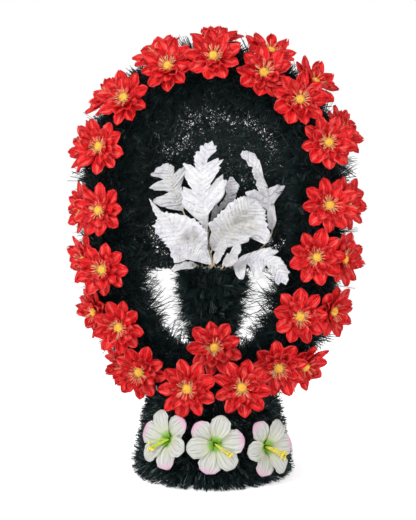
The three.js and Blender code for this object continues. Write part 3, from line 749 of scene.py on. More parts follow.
# Places in the net where light shows through: x, height and radius in millimetres.
NET_GAPS = [
    (-10, 812, 11), (-1, 803, 14), (6, 791, 11), (29, 793, 11), (40, 784, 14), (47, 770, 9),
    (66, 797, 11), (82, 785, 16), (98, 771, 16), (111, 755, 14), (118, 764, 14), (130, 745, 14),
    (136, 725, 14), (-78, 795, 14), (-61, 781, 14), (-43, 797, 16), (-68, 753, 14), (-82, 728, 16),
    (-50, 732, 11), (-33, 760, 11), (-110, 726, 11), (-99, 712, 11), (43, 685, 9), (68, 650, 11),
    (-143, 541, 14), (-131, 518, 18), (-124, 490, 18), (-113, 467, 16), (-139, 462, 14),
    (130, 506, 14), (148, 494, 18), (161, 499, 14), (111, 462, 14), (159, 462, 14), (143, 704, 9),
    (20, 807, 9), (-22, 817, 9),
]


def net_garland():
    """The laced needles that close the ring: loose, crossing, with gaps between them."""
    rng = np.random.RandomState(41)
    tries = 37000
    bottom, small_gaps = 447.0, 130
    x = rng.uniform(-190, 190, tries)
    z = rng.uniform(452, 850, tries)
    centre, outward = ring_at(np.arange(400) / 400)
    inner = centre - outward * 52.0
    # Inside the ring: the angle about the middle gives the room at each bearing.
    middle = np.array((0.0, 600.0))
    bearing = np.arctan2(inner[:, 0] - middle[0], inner[:, 2] - middle[1])
    room = np.hypot(inner[:, 0] - middle[0], inner[:, 2] - middle[1])
    order = np.argsort(bearing)
    here = np.arctan2(x - middle[0], z - middle[1])
    reach = np.interp(here, bearing[order], room[order], period=2 * np.pi)
    keep = np.hypot(x - middle[0], z - middle[1]) < reach

    def thinned(gx, gz, radius):
        return np.exp(-(((x - gx) ** 2 + (z - gz) ** 2) / radius**2))

    thin = np.zeros(tries)
    for gx, gz, gr in NET_GAPS:
        thin = np.maximum(thin, thinned(gx, gz, 1.15 * gr))
    ranges = ((-150, 150), (620, 830), (3, 6))
    for gx, gz, gr in zip(*(rng.uniform(*limits, small_gaps) for limits in ranges)):
        thin = np.maximum(thin, 0.85 * thinned(gx, gz, 1.5 * gr))
    # The net is whole just above the gaps beside the post.
    thin *= np.clip((z - 466) / 14, 0, 1)
    keep &= rng.random(tries) > 0.16 + 0.68 * thin
    x, z = x[keep], z[keep]
    n = len(x)
    y = rng.uniform(13, 31, n)
    turn = rng.uniform(0, 2 * np.pi, n)
    direction = np.stack([np.cos(turn), rng.normal(0, 0.16, n), np.sin(turn)], -1)
    length = rng.uniform(18, 38, n)
    base = np.stack([x, y, z], -1) - unit(direction) * (length / 2)[:, None]
    base[:, 2] = np.maximum(base[:, 2], bottom)
    width = rng.uniform(1.8, 3.1, n)
    shade = rng.beta(1.2, 3.0, n)
    needle_piece("fir_net_needles", rng, *clear_heads(base, direction, length, width, shade), ["fir_net"])


# Dahlias


# The CAD head: its eye's top above the head's origin, and how far out and down from that top
# the eye's ring and the petals' tips lie.
EYE_HEIGHT, EYE_RING_GAP, TIP_GAP, PETALS = 19.0, math.hypot(12.0, 4.0), math.hypot(61.0, 4.0), 9


def head_frame(name):
    """A head's origin, its axes and its stem's length, found from the CAD node's points."""
    points = node_points(name)
    far = np.linalg.norm(points[:, None] - points[None], axis=2)
    on_ring = np.abs(far - EYE_RING_GAP) < 0.03
    best = int(np.argmin(np.abs(on_ring.sum(1) - PETALS)))
    apex = points[best]
    eye_ring = points[on_ring[best]]
    z = unit(apex - eye_ring.mean(0))
    origin = apex - z * EYE_HEIGHT
    tips = points[np.abs(far[best] - TIP_GAP) < 0.1]
    x = tips[0] - apex
    x = unit(x - z * (x @ z))
    y = np.cross(z, x)
    stem = -((points - origin) @ z).min()
    return origin, x, y, z, stem


# A petal's half width and its height over the head's origin, at shares of its length.
OUTER_WIDTH = [(0, 0.30), (0.2, 0.50), (0.4, 0.84), (0.56, 1.0), (0.70, 0.94), (0.82, 0.77), (0.92, 0.50),
               (1, 0.10)]
INNER_WIDTH = [(0, 0.35), (0.25, 0.60), (0.5, 0.94), (0.66, 1.0), (0.82, 0.74), (0.93, 0.38), (1, 0.05)]
OUTER_RISE = [(0, 4), (0.25, 7), (0.55, 9), (0.8, 12), (1, 15)]
# The reach and the half width of each layer's petals, each with its range of factors.
OUTER_REACH, OUTER_HALF = (61.5, 0.93, 1.02), (15.8, 0.9, 1.12)
MIDDLE_REACH, MIDDLE_HALF = (42.0, 0.80, 1.10), (12.5, 0.8, 1.15)
LAST_REACH, LAST_HALF = (27.0, 0.78, 1.12), (8.5, 0.8, 1.15)
LAST_PETALS = 8
PETAL_THICKNESS = 0.5


def zigzag(v):
    """A wave of straight folds between -1 and 1, one fold for each unit."""
    return 2 / np.pi * np.arcsin(np.sin(np.pi * v))


def petal(start, end, half, width_table, rise, rng, folds, depth, trough, curl, cells):
    """One petal in the head's frame, along +X: returns its grid and its shader values."""
    rows, cols = cells
    t = np.linspace(0, 1, rows + 1)[:, None]
    s = np.linspace(-1, 1, cols + 1)[None, :]
    w = half * curve(width_table, t[:, 0])[:, None]
    x = blend(start, end, t) + 0 * s
    phase = rng.uniform(0, 2, 3)
    w = w * (1 + 0.07 * np.sin(8.5 * np.pi * t + 3 * phase[2]) * np.clip(2 * t - 0.5, 0, 1))
    skew = rng.normal(0, 0.16) * np.sin(np.pi * t)
    swell = 0.35 + 0.65 * np.sin(np.pi * np.clip(t, 0, 1)) ** 0.7
    fan = zigzag(folds * s * (1.15 - 0.3 * t) + phase[0] + 0.35 * np.sin(2.4 * t + phase[1]))
    cross = zigzag(2.2 * t + 0.5 * s * rng.choice((-1, 1)) + phase[1])
    small = zigzag(2.3 * folds * s + 1.3 * t + phase[2])
    crease = depth * swell * (0.85 * fan + 0.30 * small) + 0.55 * depth * cross * (0.3 + 0.7 * t)
    cup = trough * s**2 * (0.35 + 0.65 * t)
    edge = curl * np.abs(s) ** 3 * t
    tip = rng.normal(0.5, 3.0) * np.clip((t - 0.62) / 0.38, 0, 1) ** 1.4
    z = curve(rise, t[:, 0])[:, None] + crease + cup + edge + tip
    y = (s + skew * (1 - s**2)) * w * (1.0 - 0.02 * trough * s**2)
    lift = math.radians(rng.normal(0, 3.0))
    twist = math.radians(rng.normal(0, 9.0))
    z = z + (x - start) * math.sin(lift) + y * math.sin(twist) * (0.3 + 0.7 * t)
    grid = np.stack([x, y, z], -1)
    fold = np.clip(0.5 + 0.36 * fan + 0.18 * small + 0.16 * cross, 0.01, 1.0)
    values = np.stack([t + 0 * s, s + 0 * t, np.full_like(x, rng.random()), fold], -1)
    return grid, values


def turned(grid, angle):
    c, s = math.cos(angle), math.sin(angle)
    x, y, z = grid[..., 0], grid[..., 1], grid[..., 2]
    return np.stack([c * x - s * y, s * x + c * y, z], -1)


def tucked(points, fronts):
    """Bends a rim head's petals back where they would meet a front head's petals."""
    reach, ease, depth = 72.0, 16.0, 45
    for origin, z in fronts:
        off = points - origin
        high = off @ z
        far = np.linalg.norm(off - high[..., None] * z, axis=-1)
        share = np.clip((reach - far) / ease, 0, 1)
        share = share * share * (3 - 2 * share)
        over = np.clip(high + 1.0, 0, None) * (high < depth)
        points = points - z * (over * share)[..., None]
    return points


def dahlia(name, seed, fronts, fine):
    """fronts: the heads in front of this one; fine: with all its folds and filaments."""
    origin, x, y, z, stem = FRAMES[name]
    rng = np.random.RandomState(seed)
    parts = Parts()

    def world(points):
        return tucked(to_world(np.asarray(points, float), origin, x, y, z), fronts)

    def add_petal(start, end, half, widths, rise, folds, trough, curl, cells, lift, angle, blur):
        """end and half: a size and its range of factors; folds: their number and depth."""
        grid, values = petal(start, end[0] * rng.uniform(*end[1:]), half[0] * rng.uniform(*half[1:]), widths,
                             rise, rng, *folds, rng.uniform(*trough), rng.uniform(*curl), cells)
        grid[..., 2] += lift
        points, faces = shell(world(turned(grid, angle + rng.normal(0, blur))), PETAL_THICKNESS)
        parts.add(points, faces, 0, np.concatenate([values.reshape(-1, 4)] * 2))

    outer, inner, last = ((14, 12), (10, 10), (6, 6)) if fine else ((9, 8), (7, 6), (4, 4))
    step = 2 * np.pi / PETALS
    for k in range(PETALS):
        add_petal(8.0, OUTER_REACH, OUTER_HALF, OUTER_WIDTH, OUTER_RISE, (1.9, 1.9),
                  (1.0, 5.0), (-3.0, 4.0), outer, 1.8 * (k % 2), k * step, 0.04)
    for k in range(PETALS):
        top = rng.uniform(16, 23)
        rise = [(0, 8), (0.35, 11), (0.7, top - 3), (0.9, top), (1, top + rng.uniform(-4, 1.5))]
        add_petal(6.0, MIDDLE_REACH, MIDDLE_HALF, INNER_WIDTH, rise, (1.2, 1.6),
                  (2.0, 7.0), (-1.0, 4.0), inner, 0.0, (k + 0.10) * step, 0.15)
    for k in range(LAST_PETALS):
        rise = [(0, 11), (0.5, 15), (1, rng.uniform(18, 24))]
        add_petal(5.0, LAST_REACH, LAST_HALF, INNER_WIDTH, rise, (1.0, 1.2),
                  (1.0, 5.0), (0.0, 2.0), last, 0.0, (k + 0.5) * 2 * np.pi / LAST_PETALS, 0.2)

    # The eye, a grainy dome with short stubs, and its loose filaments.
    rings, sides = 7, 20
    dome = []
    for r in range(rings):
        a = (np.pi / 2) * r / (rings - 0.4)
        turn = 2 * np.pi * (np.arange(sides) + 0.5 * (r % 2)) / sides
        rad = 10.0 * math.cos(a) * (1 + rng.normal(0, 0.06, sides))
        high = 13.5 + 6.5 * math.sin(a) + rng.normal(0, 0.6, sides)
        dome.append(np.stack([rad * np.cos(turn), rad * np.sin(turn), high], -1))
    low = dome[0] * (0.8, 0.8, 1.0) - (0, 0, 4.0)
    i, quads = ring_quads(rings + 1, sides)
    parts.add(world(np.concatenate([low] + dome)), [quads, i[:1, ::-1], i[-1:]], 1)
    stubs = 70 if fine else 30
    turn = rng.uniform(0, 2 * np.pi, stubs)
    tall = np.arccos(rng.uniform(0.0, 0.98, stubs))
    way = np.stack([np.sin(tall) * np.cos(turn), np.sin(tall) * np.sin(turn), np.cos(tall)], -1)
    foot = way * (9.0, 9.0, 5.5) + (0, 0, 13.5)
    points, faces, _ = needles(foot, way + rng.normal(0, 0.3, way.shape), rng.uniform(1.5, 4.5, stubs),
                               rng.uniform(1.2, 2.0, stubs), np.zeros(stubs), rng)
    parts.add(world(points), faces, 1)
    lean = rng.uniform(0, 2 * np.pi)
    for k in range(44 if fine else 16):
        a = rng.uniform(0, 2 * np.pi)
        reach = rng.uniform(16.0, 26.0) * (0.86 + 0.14 * math.cos(a - lean))
        x_end = reach * math.cos(a + rng.normal(0, 0.07))
        y_end = reach * math.sin(a + rng.normal(0, 0.07))
        path = [(8.0 * math.cos(a), 8.0 * math.sin(a), 17.0), (x_end, y_end, rng.uniform(23, 30))]
        points, faces = tube(path, (0.32, 0.24), 4)
        parts.add(world(points), faces, 2)

    # Calyx and stem behind the petals.
    calyx = [(0, 0, -stem), (0, 0, -1.0), (0, 0, 3.0), (0, 0, 7.5)]
    points, faces = tube(calyx, (2.2, 3.0, 8.0, 10.5), 12)
    parts.add(to_world(points, origin, x, y, z), faces, 3)
    parts.make(name + "_flower", [RED, EYE, FILAMENT, CALYX], [name])


# Lilies


LILY_RISE = [(0, 8), (0.10, 13), (0.24, 19), (0.42, 24), (0.62, 28), (0.82, 29), (1, 26)]


# The CAD lily: how far apart its opposite petal tips are, and how high over its origin.
LILY_ACROSS, LILY_TIP_HEIGHT = 124.0, 26.0
# Half widths of the lily's inner and outer petals; the outer ones have pink ends.
LILY_HALF = (20.0, 23.0)


def lily_frame(name):
    """A lily's origin, its axes and its stem's length, from the pairs of opposite petal tips."""
    points = node_points(name)
    far = np.linalg.norm(points[:, None] - points[None], axis=2)
    a, b = np.nonzero(np.triu(np.abs(far - LILY_ACROSS) < 0.02))
    middles = (points[a] + points[b]) / 2
    close = np.linalg.norm(middles[:, None] - middles[None], axis=2) < 0.1
    same = close[int(np.argmax(close.sum(1)))]
    tips = points[np.concatenate([a[same], b[same]])]
    centre = tips.mean(0)
    z = np.linalg.svd(tips - centre)[2][2]
    if z @ FRONT < 0:
        z = -z
    x = unit(tips[0] - centre)
    y = np.cross(z, x)
    origin = centre - z * LILY_TIP_HEIGHT
    return origin, x, y, z, -((points - origin) @ z).min()


def lily_width(t):
    """The petal's half width as a share: a narrow claw, a broad blade, a round end."""
    claw = np.clip(t / 0.62, 0, 1)
    end = np.clip((t - 0.64) / 0.36, 0, 1)
    return (0.34 + 0.66 * claw * claw * (3 - 2 * claw)) * np.maximum(1 - end**2.2, 0.0) ** 0.62 + 0.015


def lily(name, seed, droop):
    """droop: the way the stamens hang, in degrees clockwise from up as seen from the front."""
    origin, x, y, z, stem = FRAMES[name]
    # Number the petals from the one that points most nearly up.
    level = unit(np.cross(UP, z))
    above = np.cross(z, level)
    ways = (math.cos(k * math.pi / 3) * x + math.sin(k * math.pi / 3) * y for k in range(6))
    turns = [math.atan2(v @ level, v @ above) for v in ways]
    first = int(np.argmin(np.abs(turns)))
    rng = np.random.RandomState(seed)
    parts = Parts()
    for k in range(6):
        pink = k % 2
        t = np.sin(np.linspace(0, np.pi / 2, 27))[:, None]
        s = np.linspace(-1, 1, 19)[None, :]
        scallop = 1 + 0.045 * np.sin(9 * np.pi * t + rng.uniform(0, 6)) * np.clip((t - 0.4) * 3, 0, 1)
        w = LILY_HALF[pink] * rng.uniform(0.92, 1.06) * lily_width(t) * scallop
        end = LILY_ACROSS / 2 * rng.uniform(0.95, 1.0)
        px = blend(3.0, end, t) + 0 * s
        frill = 2.0 * np.abs(s) ** 2 * np.sin(5 * np.pi * t + 3 * s + rng.uniform(0, 6)) * t
        ribs = 1.2 * np.cos(4 * np.pi * s + rng.uniform(-1, 1)) * np.sin(np.pi * np.clip(t * 1.1, 0, 1))
        keel = -1.8 * np.exp(-((s / 0.10) ** 2)) * np.sin(np.pi * np.clip(t * 1.15, 0, 1))
        trough = 5.0 * s**2 * (1 - 0.8 * t) - 4.0 * s**2 * np.clip(t - 0.6, 0, 1)
        pz = curve(LILY_RISE, t[:, 0])[:, None] + frill + ribs + keel + trough + (0 if pink else 3.0)
        grid = np.stack([px, s * w, pz], -1)
        values = np.stack([t + 0 * s, s + 0 * t, np.full_like(px, float(pink))], -1)
        grid = turned(grid, (first + k) * np.pi / 3 + rng.normal(0, 0.04))
        points, faces = shell(to_world(grid, origin, x, y, z), 0.6)
        parts.add(points, faces, 0, np.concatenate([values.reshape(-1, 3)] * 2))
    a = math.radians(droop)
    side = math.sin(a) * level + math.cos(a) * above
    for k in range(7):
        spread = rng.normal(0, 2.6, 2)
        far = rng.uniform(26, 40)
        across = np.cross(z, side)
        path = []
        for q in np.linspace(0, 1, 7):
            path.append(origin + z * (8 + 38 * q - 8 * q**3) + side * (far * q**1.7)
                        + across * spread[0] * q * 2.2 + z * spread[1] * q * 0.8)
        points, faces = tube(path, np.linspace(1.3, 0.8, 7), 6)
        parts.add(points, faces, 1)
        tip, way = np.array(path[-1]), unit(np.array(path[-1]) - np.array(path[-2]))
        lie = unit(np.cross(way, z) + rng.normal(0, 0.3, 3))
        points, faces = tube([tip + lie * v for v in (-4, -1.8, 1.8, 4)], (0.6, 1.8, 1.8, 0.6), 6)
        parts.add(points, faces, 2)
    points, faces = tube([origin + z * v for v in (-stem, 0, 6, 12)], (2.4, 3.2, 6.5, 9.5), 12)
    parts.add(points, faces, 3)
    green = STAMEN if name == "lily_left" else STAMEN_YELLOW
    parts.make(name + "_flower", [LILY, green, ANTHER, CALYX], [name])


# Leaves of the spray


# Where the stems stand: on the post's top, with the gap that the CAD stems have.
STEM_GAP = 0.3
POST_TOP = np.array((0.0, 0.0, POST_TOP_HEIGHT + STEM_GAP))
# All places are in millimetres from the middle of the post's top. foot: where the stem stands.
# joint: where the blade begins, tip: where it ends, and bow: how far the midrib bends away from the
# line between them. face: the way the upper side looks. cup: how far the edges rise, as a share of
# their distance from the midrib. warm: how strongly painted shade darkens the blade's middle to beige.
# hollow: a dent's share along, its share across, its spread along and across, and its depth; the dent
# is darkened with painted shade as well. left and right: at a percentage of the midrib, how far the
# blade's edge lies across the midrib and then along it.
LEAVES = {
    "leaf_tall": dict(
        foot=(-4, -30), joint=(-8.0, -44.0, 79.0), tip=(4.4, -52.0, 280.5), bow=(-31.9, -8.0, 14.5),
        face=(0.05, -1, 0.05), cup=0.08, painted_shade=0.0,
        left=[(0, 1, -3), (5, 6, 4), (9, 15, 10), (19, 41, 17), (28, 44, 32), (30, 39, 34), (31, 36, 32),
            (35, 20, 16), (42, 36, 25), (48, 39, 33), (51, 45, 37), (52, 40, 36), (54, 33, 29),
            (55, 30, 29), (59, 18, 13), (71, 26, 12), (74, 24, 13), (77, 22, 13), (80, 17, 8),
            (83, 19, 10), (85, 17, 10), (88, 13, 5), (91, 11, 6), (94, 5, 2)],
        right=[(0, -1, -2), (9, -12, 19), (16, -34, 25), (17, -40, 25), (19, -45, 26), (25, -57, 42),
            (28, -55, 49), (29, -51, 48), (30, -49, 55), (33, -36, 44), (39, -19, 14), (40, -19, 18),
            (50, -35, 27), (51, -34, 29), (53, -38, 29), (55, -33, 30), (57, -38, 34), (59, -40, 38),
            (62, -31, 30), (64, -26, 31), (71, -5, 4), (75, -4, 5), (87, -18, 8), (89, -14, 7),
            (91, -14, 9), (94, -8, 2), (97, -4, 2)],
    ),
    "leaf_left": dict(
        foot=(-20, -10), joint=(-65.7, -14.0, 129.0), tip=(-99.3, -24.0, 235.6), bow=(-9.2, 10.3, 0.3),
        face=(-0.1, -1, 0.1), cup=0.1, painted_shade=0.15,
        left=[(0, 1, 0), (10, 29, 7), (12, 35, 11), (15, 43, 11), (20, 54, 18), (21, 55, 23),
            (23, 50, 23), (33, 16, 12), (35, 18, 15), (37, 23, 16), (42, 38, 16), (43, 44, 15),
            (45, 44, 16), (47, 51, 18), (54, 32, 17), (58, 17, 14), (62, 22, 15), (72, 42, 13),
            (74, 39, 13), (76, 40, 13), (80, 32, 10), (83, 30, 12), (85, 26, 13), (90, 16, 7),
            (94, 10, 6)],
        right=[(0, 0, -1), (13, -12, 2), (37, -19, 14), (48, -34, 20), (51, -38, 23), (56, -37, 30),
            (64, -21, 19), (70, -8, 6), (82, -15, 9), (89, -8, 9), (94, -1, 2), (97, -3, 3)],
    ),
    "leaf_left_low": dict(
        foot=(-16, -42), joint=(3.8, -56.0, 13.7), tip=(-135.5, -60.0, 154.8), bow=(0.7, -25.9, 0.6),
        face=(-0.1, -1, 0.3), cup=0.14, painted_shade=0.2, hollow=(0.33, -0.18, 0.09, 0.44, 11.0),
        left=[(0, 1, -1), (5, 16, 5), (13, 36, 17), (16, 48, 17), (19, 60, 19), (23, 55, 26),
            (25, 46, 26), (26, 48, 30), (28, 45, 34), (40, 42, 34), (42, 45, 32), (57, 36, 31),
            (62, 26, 21), (65, 24, 20), (69, 17, 12), (78, 14, 10)],
        right=[(0, -1, 0), (12, -14, 2), (17, -23, 3), (25, -37, 1), (36, -40, 7), (42, -38, 10),
            (54, -24, 14), (64, -8, 15), (66, -8, 17), (68, -2, 14), (70, 0, 16), (73, 6, 5), (90, 3, 4)],
    ),
    "leaf_right": dict(
        foot=(12, -44), joint=(4.5, -52.0, 40.4), tip=(102.0, -46.0, 148.8), bow=(-3.7, 13.9, 2.6),
        face=(0.1, -1, 0.1), cup=0.34, painted_shade=0.95, hollow=(0.60, -0.26, 0.17, 0.46, 13.0),
        left=[(0, 1, -1), (7, 16, -2), (15, 25, 5), (23, 41, 1), (31, 38, 10), (36, 39, 15), (59, 35, 26),
            (74, 28, 23), (89, 12, 11)],
        right=[(0, -6, 0), (7, -17, 9), (19, -41, 18), (24, -47, 25), (30, -48, 36), (35, -58, 37),
            (44, -83, 19), (47, -83, 24), (56, -66, 33), (65, -45, 33), (70, -39, 33), (79, -29, 27),
            (89, -15, 16)],
    ),
    "leaf_right_tall": dict(
        foot=(30, -16), joint=(135.5, -20.0, 85.1), tip=(66.6, -42.0, 250.5), bow=(46.6, 21.9, 32.4),
        face=(0.3, -1, 0), cup=0.16, painted_shade=0.1,
        left=[(0, 2, -1), (2, 9, -3), (6, 14, 9), (10, 14, 20), (12, 18, 24), (18, 43, 20), (22, 57, 23),
            (24, 59, 32), (27, 50, 35), (29, 37, 33), (32, 26, 20), (42, 26, 19), (50, 21, 19),
            (58, 21, 18), (66, 15, 17), (73, 5, 11), (80, 10, 7), (89, 4, 5), (94, 6, 4)],
        right=[(0, -2, 0), (6, -7, 4), (20, -3, 19), (29, -26, 19), (33, -35, 21), (38, -22, 17),
            (45, 1, 1), (58, 0, 6), (75, -15, 11), (82, -18, 13), (88, -15, 13), (95, -8, 11)],
    ),
    "leaf_right_rim": dict(
        foot=(44, -44), joint=(50.4, -66.0, 7.4), tip=(165.5, -100.0, -34.3), bow=(25.3, 23.2, 65.0),
        face=(0.1, -0.85, 0.45), cup=0.03, painted_shade=0.0,
        left=[(0, 3, 1), (15, 14, 14), (21, 15, 19), (29, 20, 30), (40, 22, 40), (48, 12, 9),
            (57, 18, 11), (64, 19, 13), (80, 19, 13), (85, 12, 8), (91, 10, 8)],
        right=[(0, -3, 0), (4, -27, -10), (5, -40, -9), (7, -47, -5), (8, -37, 2), (12, -11, 8),
            (16, -19, 8), (23, -36, 3), (30, -52, 3), (33, -54, 10), (35, -50, 17), (41, -32, 15),
            (49, -10, 8), (64, -20, 11), (81, -20, 20), (86, -17, 20), (91, -9, 9)],
    ),
    "leaf_back": dict(
        foot=(8, -12), joint=(-2.6, -12.0, 94.9), tip=(47.3, -22.0, 203.2), bow=(6.0, 5.3, -0.5),
        face=(0.1, -1, 0), cup=0.08, painted_shade=0.25,
        left=[(0, 3, 2), (21, 14, 6), (32, 11, 11), (39, 3, -4), (48, 4, -1), (54, -3, -2), (64, -2, 1),
            (73, 7, 0), (85, 8, 2), (94, 6, 5)],
        right=[(0, 0, 7), (17, 0, 15), (32, -10, 19), (37, -16, 7), (47, -20, 10), (52, -24, 11),
            (61, -20, 15), (76, -21, 14)],
    ),
    "leaf_small": dict(
        foot=(2, -62), joint=(11.7, -78.0, 12.3), tip=(40.4, -94.0, 72.9), bow=(-5.5, -2.2, 2.5),
        face=(-0.3, -0.95, 0), cup=0.3, painted_shade=0.6,
        left=[(0, 2, -1), (17, 5, 0), (45, 5, 1), (74, 4, 2)],
        right=[(0, -6, -2), (21, -14, -2), (61, -19, 5), (76, -9, 2)],
    ),
    "leaf_small_right": dict(
        foot=(24, -54), joint=(32.3, -80.0, 5.3), tip=(66.0, -96.0, 59.0), bow=(2.1, -6.4, -1.3),
        face=(-0.2, -0.95, 0), cup=0.25, painted_shade=0.6,
        left=[(0, 4, -2), (21, 8, -1), (42, 8, 2), (49, 4, -4), (71, 5, 0)],
        right=[(0, -6, 2), (18, -15, 1), (44, -22, 3), (55, -15, 2), (68, -16, 4), (78, -12, 5)],
    ),
    "leaf_left_front": dict(
        foot=(-14, -62), joint=(4.7, -82.0, 8.7), tip=(-59.3, -104.0, 43.4), bow=(-0.7, -8.5, -1.8),
        face=(-0.05, -0.95, 0.3), cup=0.22, painted_shade=0.2,
        left=[(0, 2, 1), (63, 14, 6), (73, 14, 8), (93, 6, 8)],
        right=[(0, -2, -1), (15, -11, -3), (32, -18, -3), (47, -20, 0), (61, -18, 3), (91, -9, 5)],
    ),
    "leaf_left_rim": dict(
        foot=(-26, -54), joint=(-28.5, -70.0, 6.3), tip=(-81.5, -92.0, -2.6), bow=(-1.2, -4.4, 2.8),
        face=(-0.1, -0.9, 0.5), cup=0.05, painted_shade=0.2,
        left=[(0, 4, 1), (13, 8, 0), (59, 6, 2), (70, 8, 2), (81, 7, 3), (97, 1, 2)],
        right=[(0, -3, -1), (18, -10, -2), (42, -14, -1), (73, -8, 2)],
    ),
}


def leaf(name, seed, foot, joint, tip, bow, face, cup, painted_shade, left, right, hollow=None):
    rng = np.random.RandomState(seed)
    start, end = np.array(joint, float) + POST_TOP, np.array(tip, float) + POST_TOP
    bend = (start + end) / 2 + np.array(bow, float)
    size = np.linalg.norm(end - start)
    rows, half_cols = (140, 8) if size > 100 else (64, 6)
    t = np.linspace(0, 1, rows + 1)
    rib = (1 - t)[:, None] ** 2 * start + 2 * ((1 - t) * t)[:, None] * bend + (t**2)[:, None] * end
    along = unit(np.gradient(rib, axis=0))
    side = unit(np.cross(unit(face), along))
    above = np.cross(along, side)
    ripple_at = rng.uniform(0, 6, 4)

    def half(table):
        percent, across, ahead = zip(*table, (100, 0, 0))
        share = np.array(percent) / 100
        return np.interp(t, share, across), np.interp(t, share, ahead)

    def sheet(table):
        across, ahead = half(table)
        q = np.linspace(0, 1, half_cols + 1)[None, :]
        reach = np.hypot(across, ahead)[:, None]
        raised = cup * np.abs(across)[:, None] * q**1.6
        vein = np.abs(np.sin(np.pi * VEINS * t))[:, None] ** 0.5
        wave = 3.0 * np.sin(2 * np.pi * 3.3 * t[:, None] + 2.0 * q + ripple_at[0] + (table is left)) * q
        fine = 1.2 * np.sin(2 * np.pi * 9.7 * t[:, None] + ripple_at[1]) * q**2
        curl = 3.0 * np.sin(2 * np.pi * 1.4 * t[:, None] + ripple_at[2] + 2.0 * (table is left)) * q**3
        lift = raised + (wave + fine + curl + 1.1 * (vein - 0.6) * q) * np.clip(reach / 26.0, 0, 1)
        lift = lift - 1.6 * np.exp(-((reach * q / 3.0) ** 2))
        # Small teeth along the edge.
        teeth = zigzag(size / 5.4 * t + 0.9 * np.sin(19 * t) + ripple_at[3])[:, None]
        tooth = 1.0 + 0.055 * (teeth + 0.2) * q**3
        outwards = (tooth * q * across[:, None])[..., None] * side[:, None, :]
        onwards = (tooth * q * ahead[:, None])[..., None] * along[:, None, :]
        return rib[:, None, :] + outwards + onwards + lift[..., None] * above[:, None, :]

    lefts, rights = sheet(left), sheet(right)
    grid = np.concatenate([rights[:, :0:-1], lefts], 1)
    s = np.linspace(-1, 1, 2 * half_cols + 1)[None, :]
    # Painted shade, beige, over the middle of the cupped blade.
    shaded = 0.5 * painted_shade * np.clip(1.25 - 1.3 * np.abs(s), 0, 1) * np.sin(np.pi * t[:, None] ** 0.8) ** 0.5
    if hollow:
        at, aside, long, wide, depth = hollow
        pit = np.exp(-((((t[:, None] - at) / long) ** 2 + ((s - aside) / wide) ** 2) ** 1.6))
        crinkle = 1.0 + 0.28 * np.sin(9 * s + 37 * t[:, None]) + 0.15 * np.sin(21 * s - 11 * t[:, None])
        # The hollow's dent is darkened with painted shade as well.
        shaded = np.maximum(shaded, 0.7 * pit * np.clip(crinkle - 0.25, 0, 1))
        grid = grid - (depth * pit * crinkle)[..., None] * above[:, None, :]
    # The midrib shows plainly on one leaf only.
    ribbed = 1.0 if name == "leaf_left" else 0.15
    values = np.stack(np.broadcast_arrays(t[:, None], s + 0 * t[:, None], shaded, ribbed), -1)
    parts = Parts()
    points, faces = shell(grid, 0.7)
    parts.add(points, faces, 0, np.concatenate([values.reshape(-1, 4)] * 2))
    stem_foot = np.array((*foot, 0.0)) + POST_TOP
    lead = start - along[0] * 0.35 * np.linalg.norm(start - stem_foot)
    q = np.linspace(0, 1, 12)[:, None]
    stem = (1 - q) ** 2 * stem_foot + 2 * (1 - q) * q * lead + q**2 * start
    # The stem runs on under the blade, and ends before a hollow.
    taken = np.linspace(2, (0.15 if hollow else 0.75) * rows, 10).astype(int)
    run = np.concatenate([stem, rib[taken] + above[taken] * -2.6])
    points, faces = tube(run, np.concatenate([np.full(12, 1.7), np.linspace(1.6, 0.5, len(run) - 12)]), 7)
    parts.add(points, faces, 1)
    parts.make(name + "_blade", [LEAF, LEAF_STEM], [name])


# The object

dahlias = sorted(n for n in frame["nodes"] if n.startswith("dahlia"))
FRAMES = {name: head_frame(name) for name in dahlias}
FRAMES.update((name, lily_frame(name)) for name in ("lily_left", "lily_centre", "lily_right"))
# The space that each flower keeps clear of needles: its origin, its axis, and the radius and the
# height of its petals' underside.
ROOM = {"dahlia": (58.0, 6.0), "lily": (50.0, 14.0)}
HEADS = [(f[0], f[3], *ROOM[n.split("_")[0]]) for n, f in FRAMES.items()]
ring_garland()
foot_garland()
post_garland()
net_garland()
forward = [(FRAMES[n][0], FRAMES[n][3]) for n in dahlias if "_rim_" not in n]
for number, node in enumerate(dahlias):
    rim = "_rim_" in node
    dahlia(node, 100 + number, forward if rim else [], not rim)
lily("lily_left", 301, 225)
lily("lily_centre", 302, 120)
lily("lily_right", 303, 126)
for number, (node, row) in enumerate(LEAVES.items()):
    leaf(node, 500 + number, **row)


# Floor, light and camera


def floor():
    half = 30.0
    mesh = bpy.data.meshes.new("floor")
    corners = [(-half, -half, 0), (half, -half, 0), (half, half, 0), (-half, half, 0)]
    mesh.from_pydata(corners, [], [(0, 1, 2, 3)])
    obj = bpy.data.objects.new("floor", mesh)
    bpy.context.scene.collection.objects.link(obj)
    g = Graph("floor")
    g.shader.inputs["Emission Color"].default_value = (1.0, 1.0, 1.0, 1)
    g.shader.inputs["Emission Strength"].default_value = 0.38
    mesh.materials.append(g.surface((0.98, 0.98, 0.98), 0.9, 0.0))


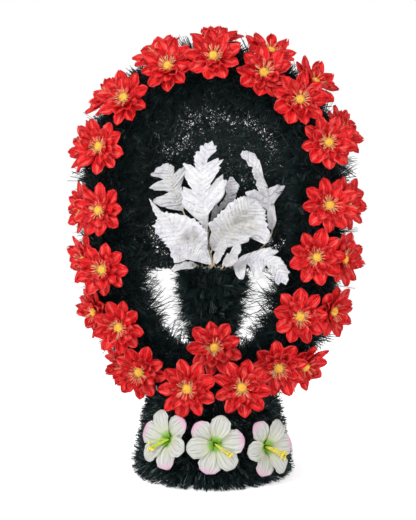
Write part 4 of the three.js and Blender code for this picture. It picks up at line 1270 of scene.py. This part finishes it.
def lamp(name, at, aim, size, power):
    data = bpy.data.lights.new(name, "AREA")
    data.size = size
    data.energy = power
    obj = bpy.data.objects.new(name, data)
    obj.location = at
    obj.rotation_euler = (Vector(aim) - Vector(at)).to_track_quat("-Z", "Y").to_euler()
    bpy.context.scene.collection.objects.link(obj)


floor()
bpy.context.scene.view_settings.view_transform = "Standard"
world = bpy.data.worlds.new("studio")
bpy.context.scene.world = world
world.use_nodes = True
tree = world.node_tree
backdrop = tree.nodes["Background"].inputs
backdrop["Color"].default_value = (1.0, 1.0, 1.0, 1.0)
# The backdrop shows pure white, and lights the object less than it shows.
BACKDROP_SHOWN = 1.0
BACKDROP_LIGHT = 0.64
path = tree.nodes.new("ShaderNodeLightPath")
strength = tree.nodes.new("ShaderNodeMath")
strength.operation = "MULTIPLY_ADD"
tree.links.new(path.outputs["Is Camera Ray"], strength.inputs[0])
strength.inputs[1].default_value = BACKDROP_SHOWN - BACKDROP_LIGHT
strength.inputs[2].default_value = BACKDROP_LIGHT
tree.links.new(strength.outputs[0], backdrop["Strength"])
lamp("key", (-1.3, -2.0, 2.3), (0, 0, 0.55), 0.9, 58.0)
lamp("fill", (1.6, -2.2, 1.0), (0, 0, 0.5), 1.6, 16.0)
lamp("back", (0.6, 2.4, 2.2), (0, 0, 0.5), 1.6, 26.0)

# The camera stands level, a little to the object's right.
CAMERA_TURN = math.radians(6.0)
CAMERA_FAR = 1.65
CAMERA_HEIGHT = 0.467
CAMERA_ASIDE = 0.0102
FOCAL_PIXELS = 727.0
IMAGE_LONG_SIDE = 520.0
SENSOR_WIDTH = 36.0
camera_data = bpy.data.cameras.new("camera")
camera_data.sensor_width = SENSOR_WIDTH
camera_data.lens = SENSOR_WIDTH * FOCAL_PIXELS / IMAGE_LONG_SIDE
camera = bpy.data.objects.new("camera", camera_data)
c, s = math.cos(CAMERA_TURN), math.sin(CAMERA_TURN)
camera.location = (CAMERA_FAR * s - CAMERA_ASIDE * c, -CAMERA_FAR * c - CAMERA_ASIDE * s, CAMERA_HEIGHT)
camera.rotation_euler = (math.pi / 2, 0.0, CAMERA_TURN)
bpy.context.scene.collection.objects.link(camera)
bpy.context.scene.camera = camera
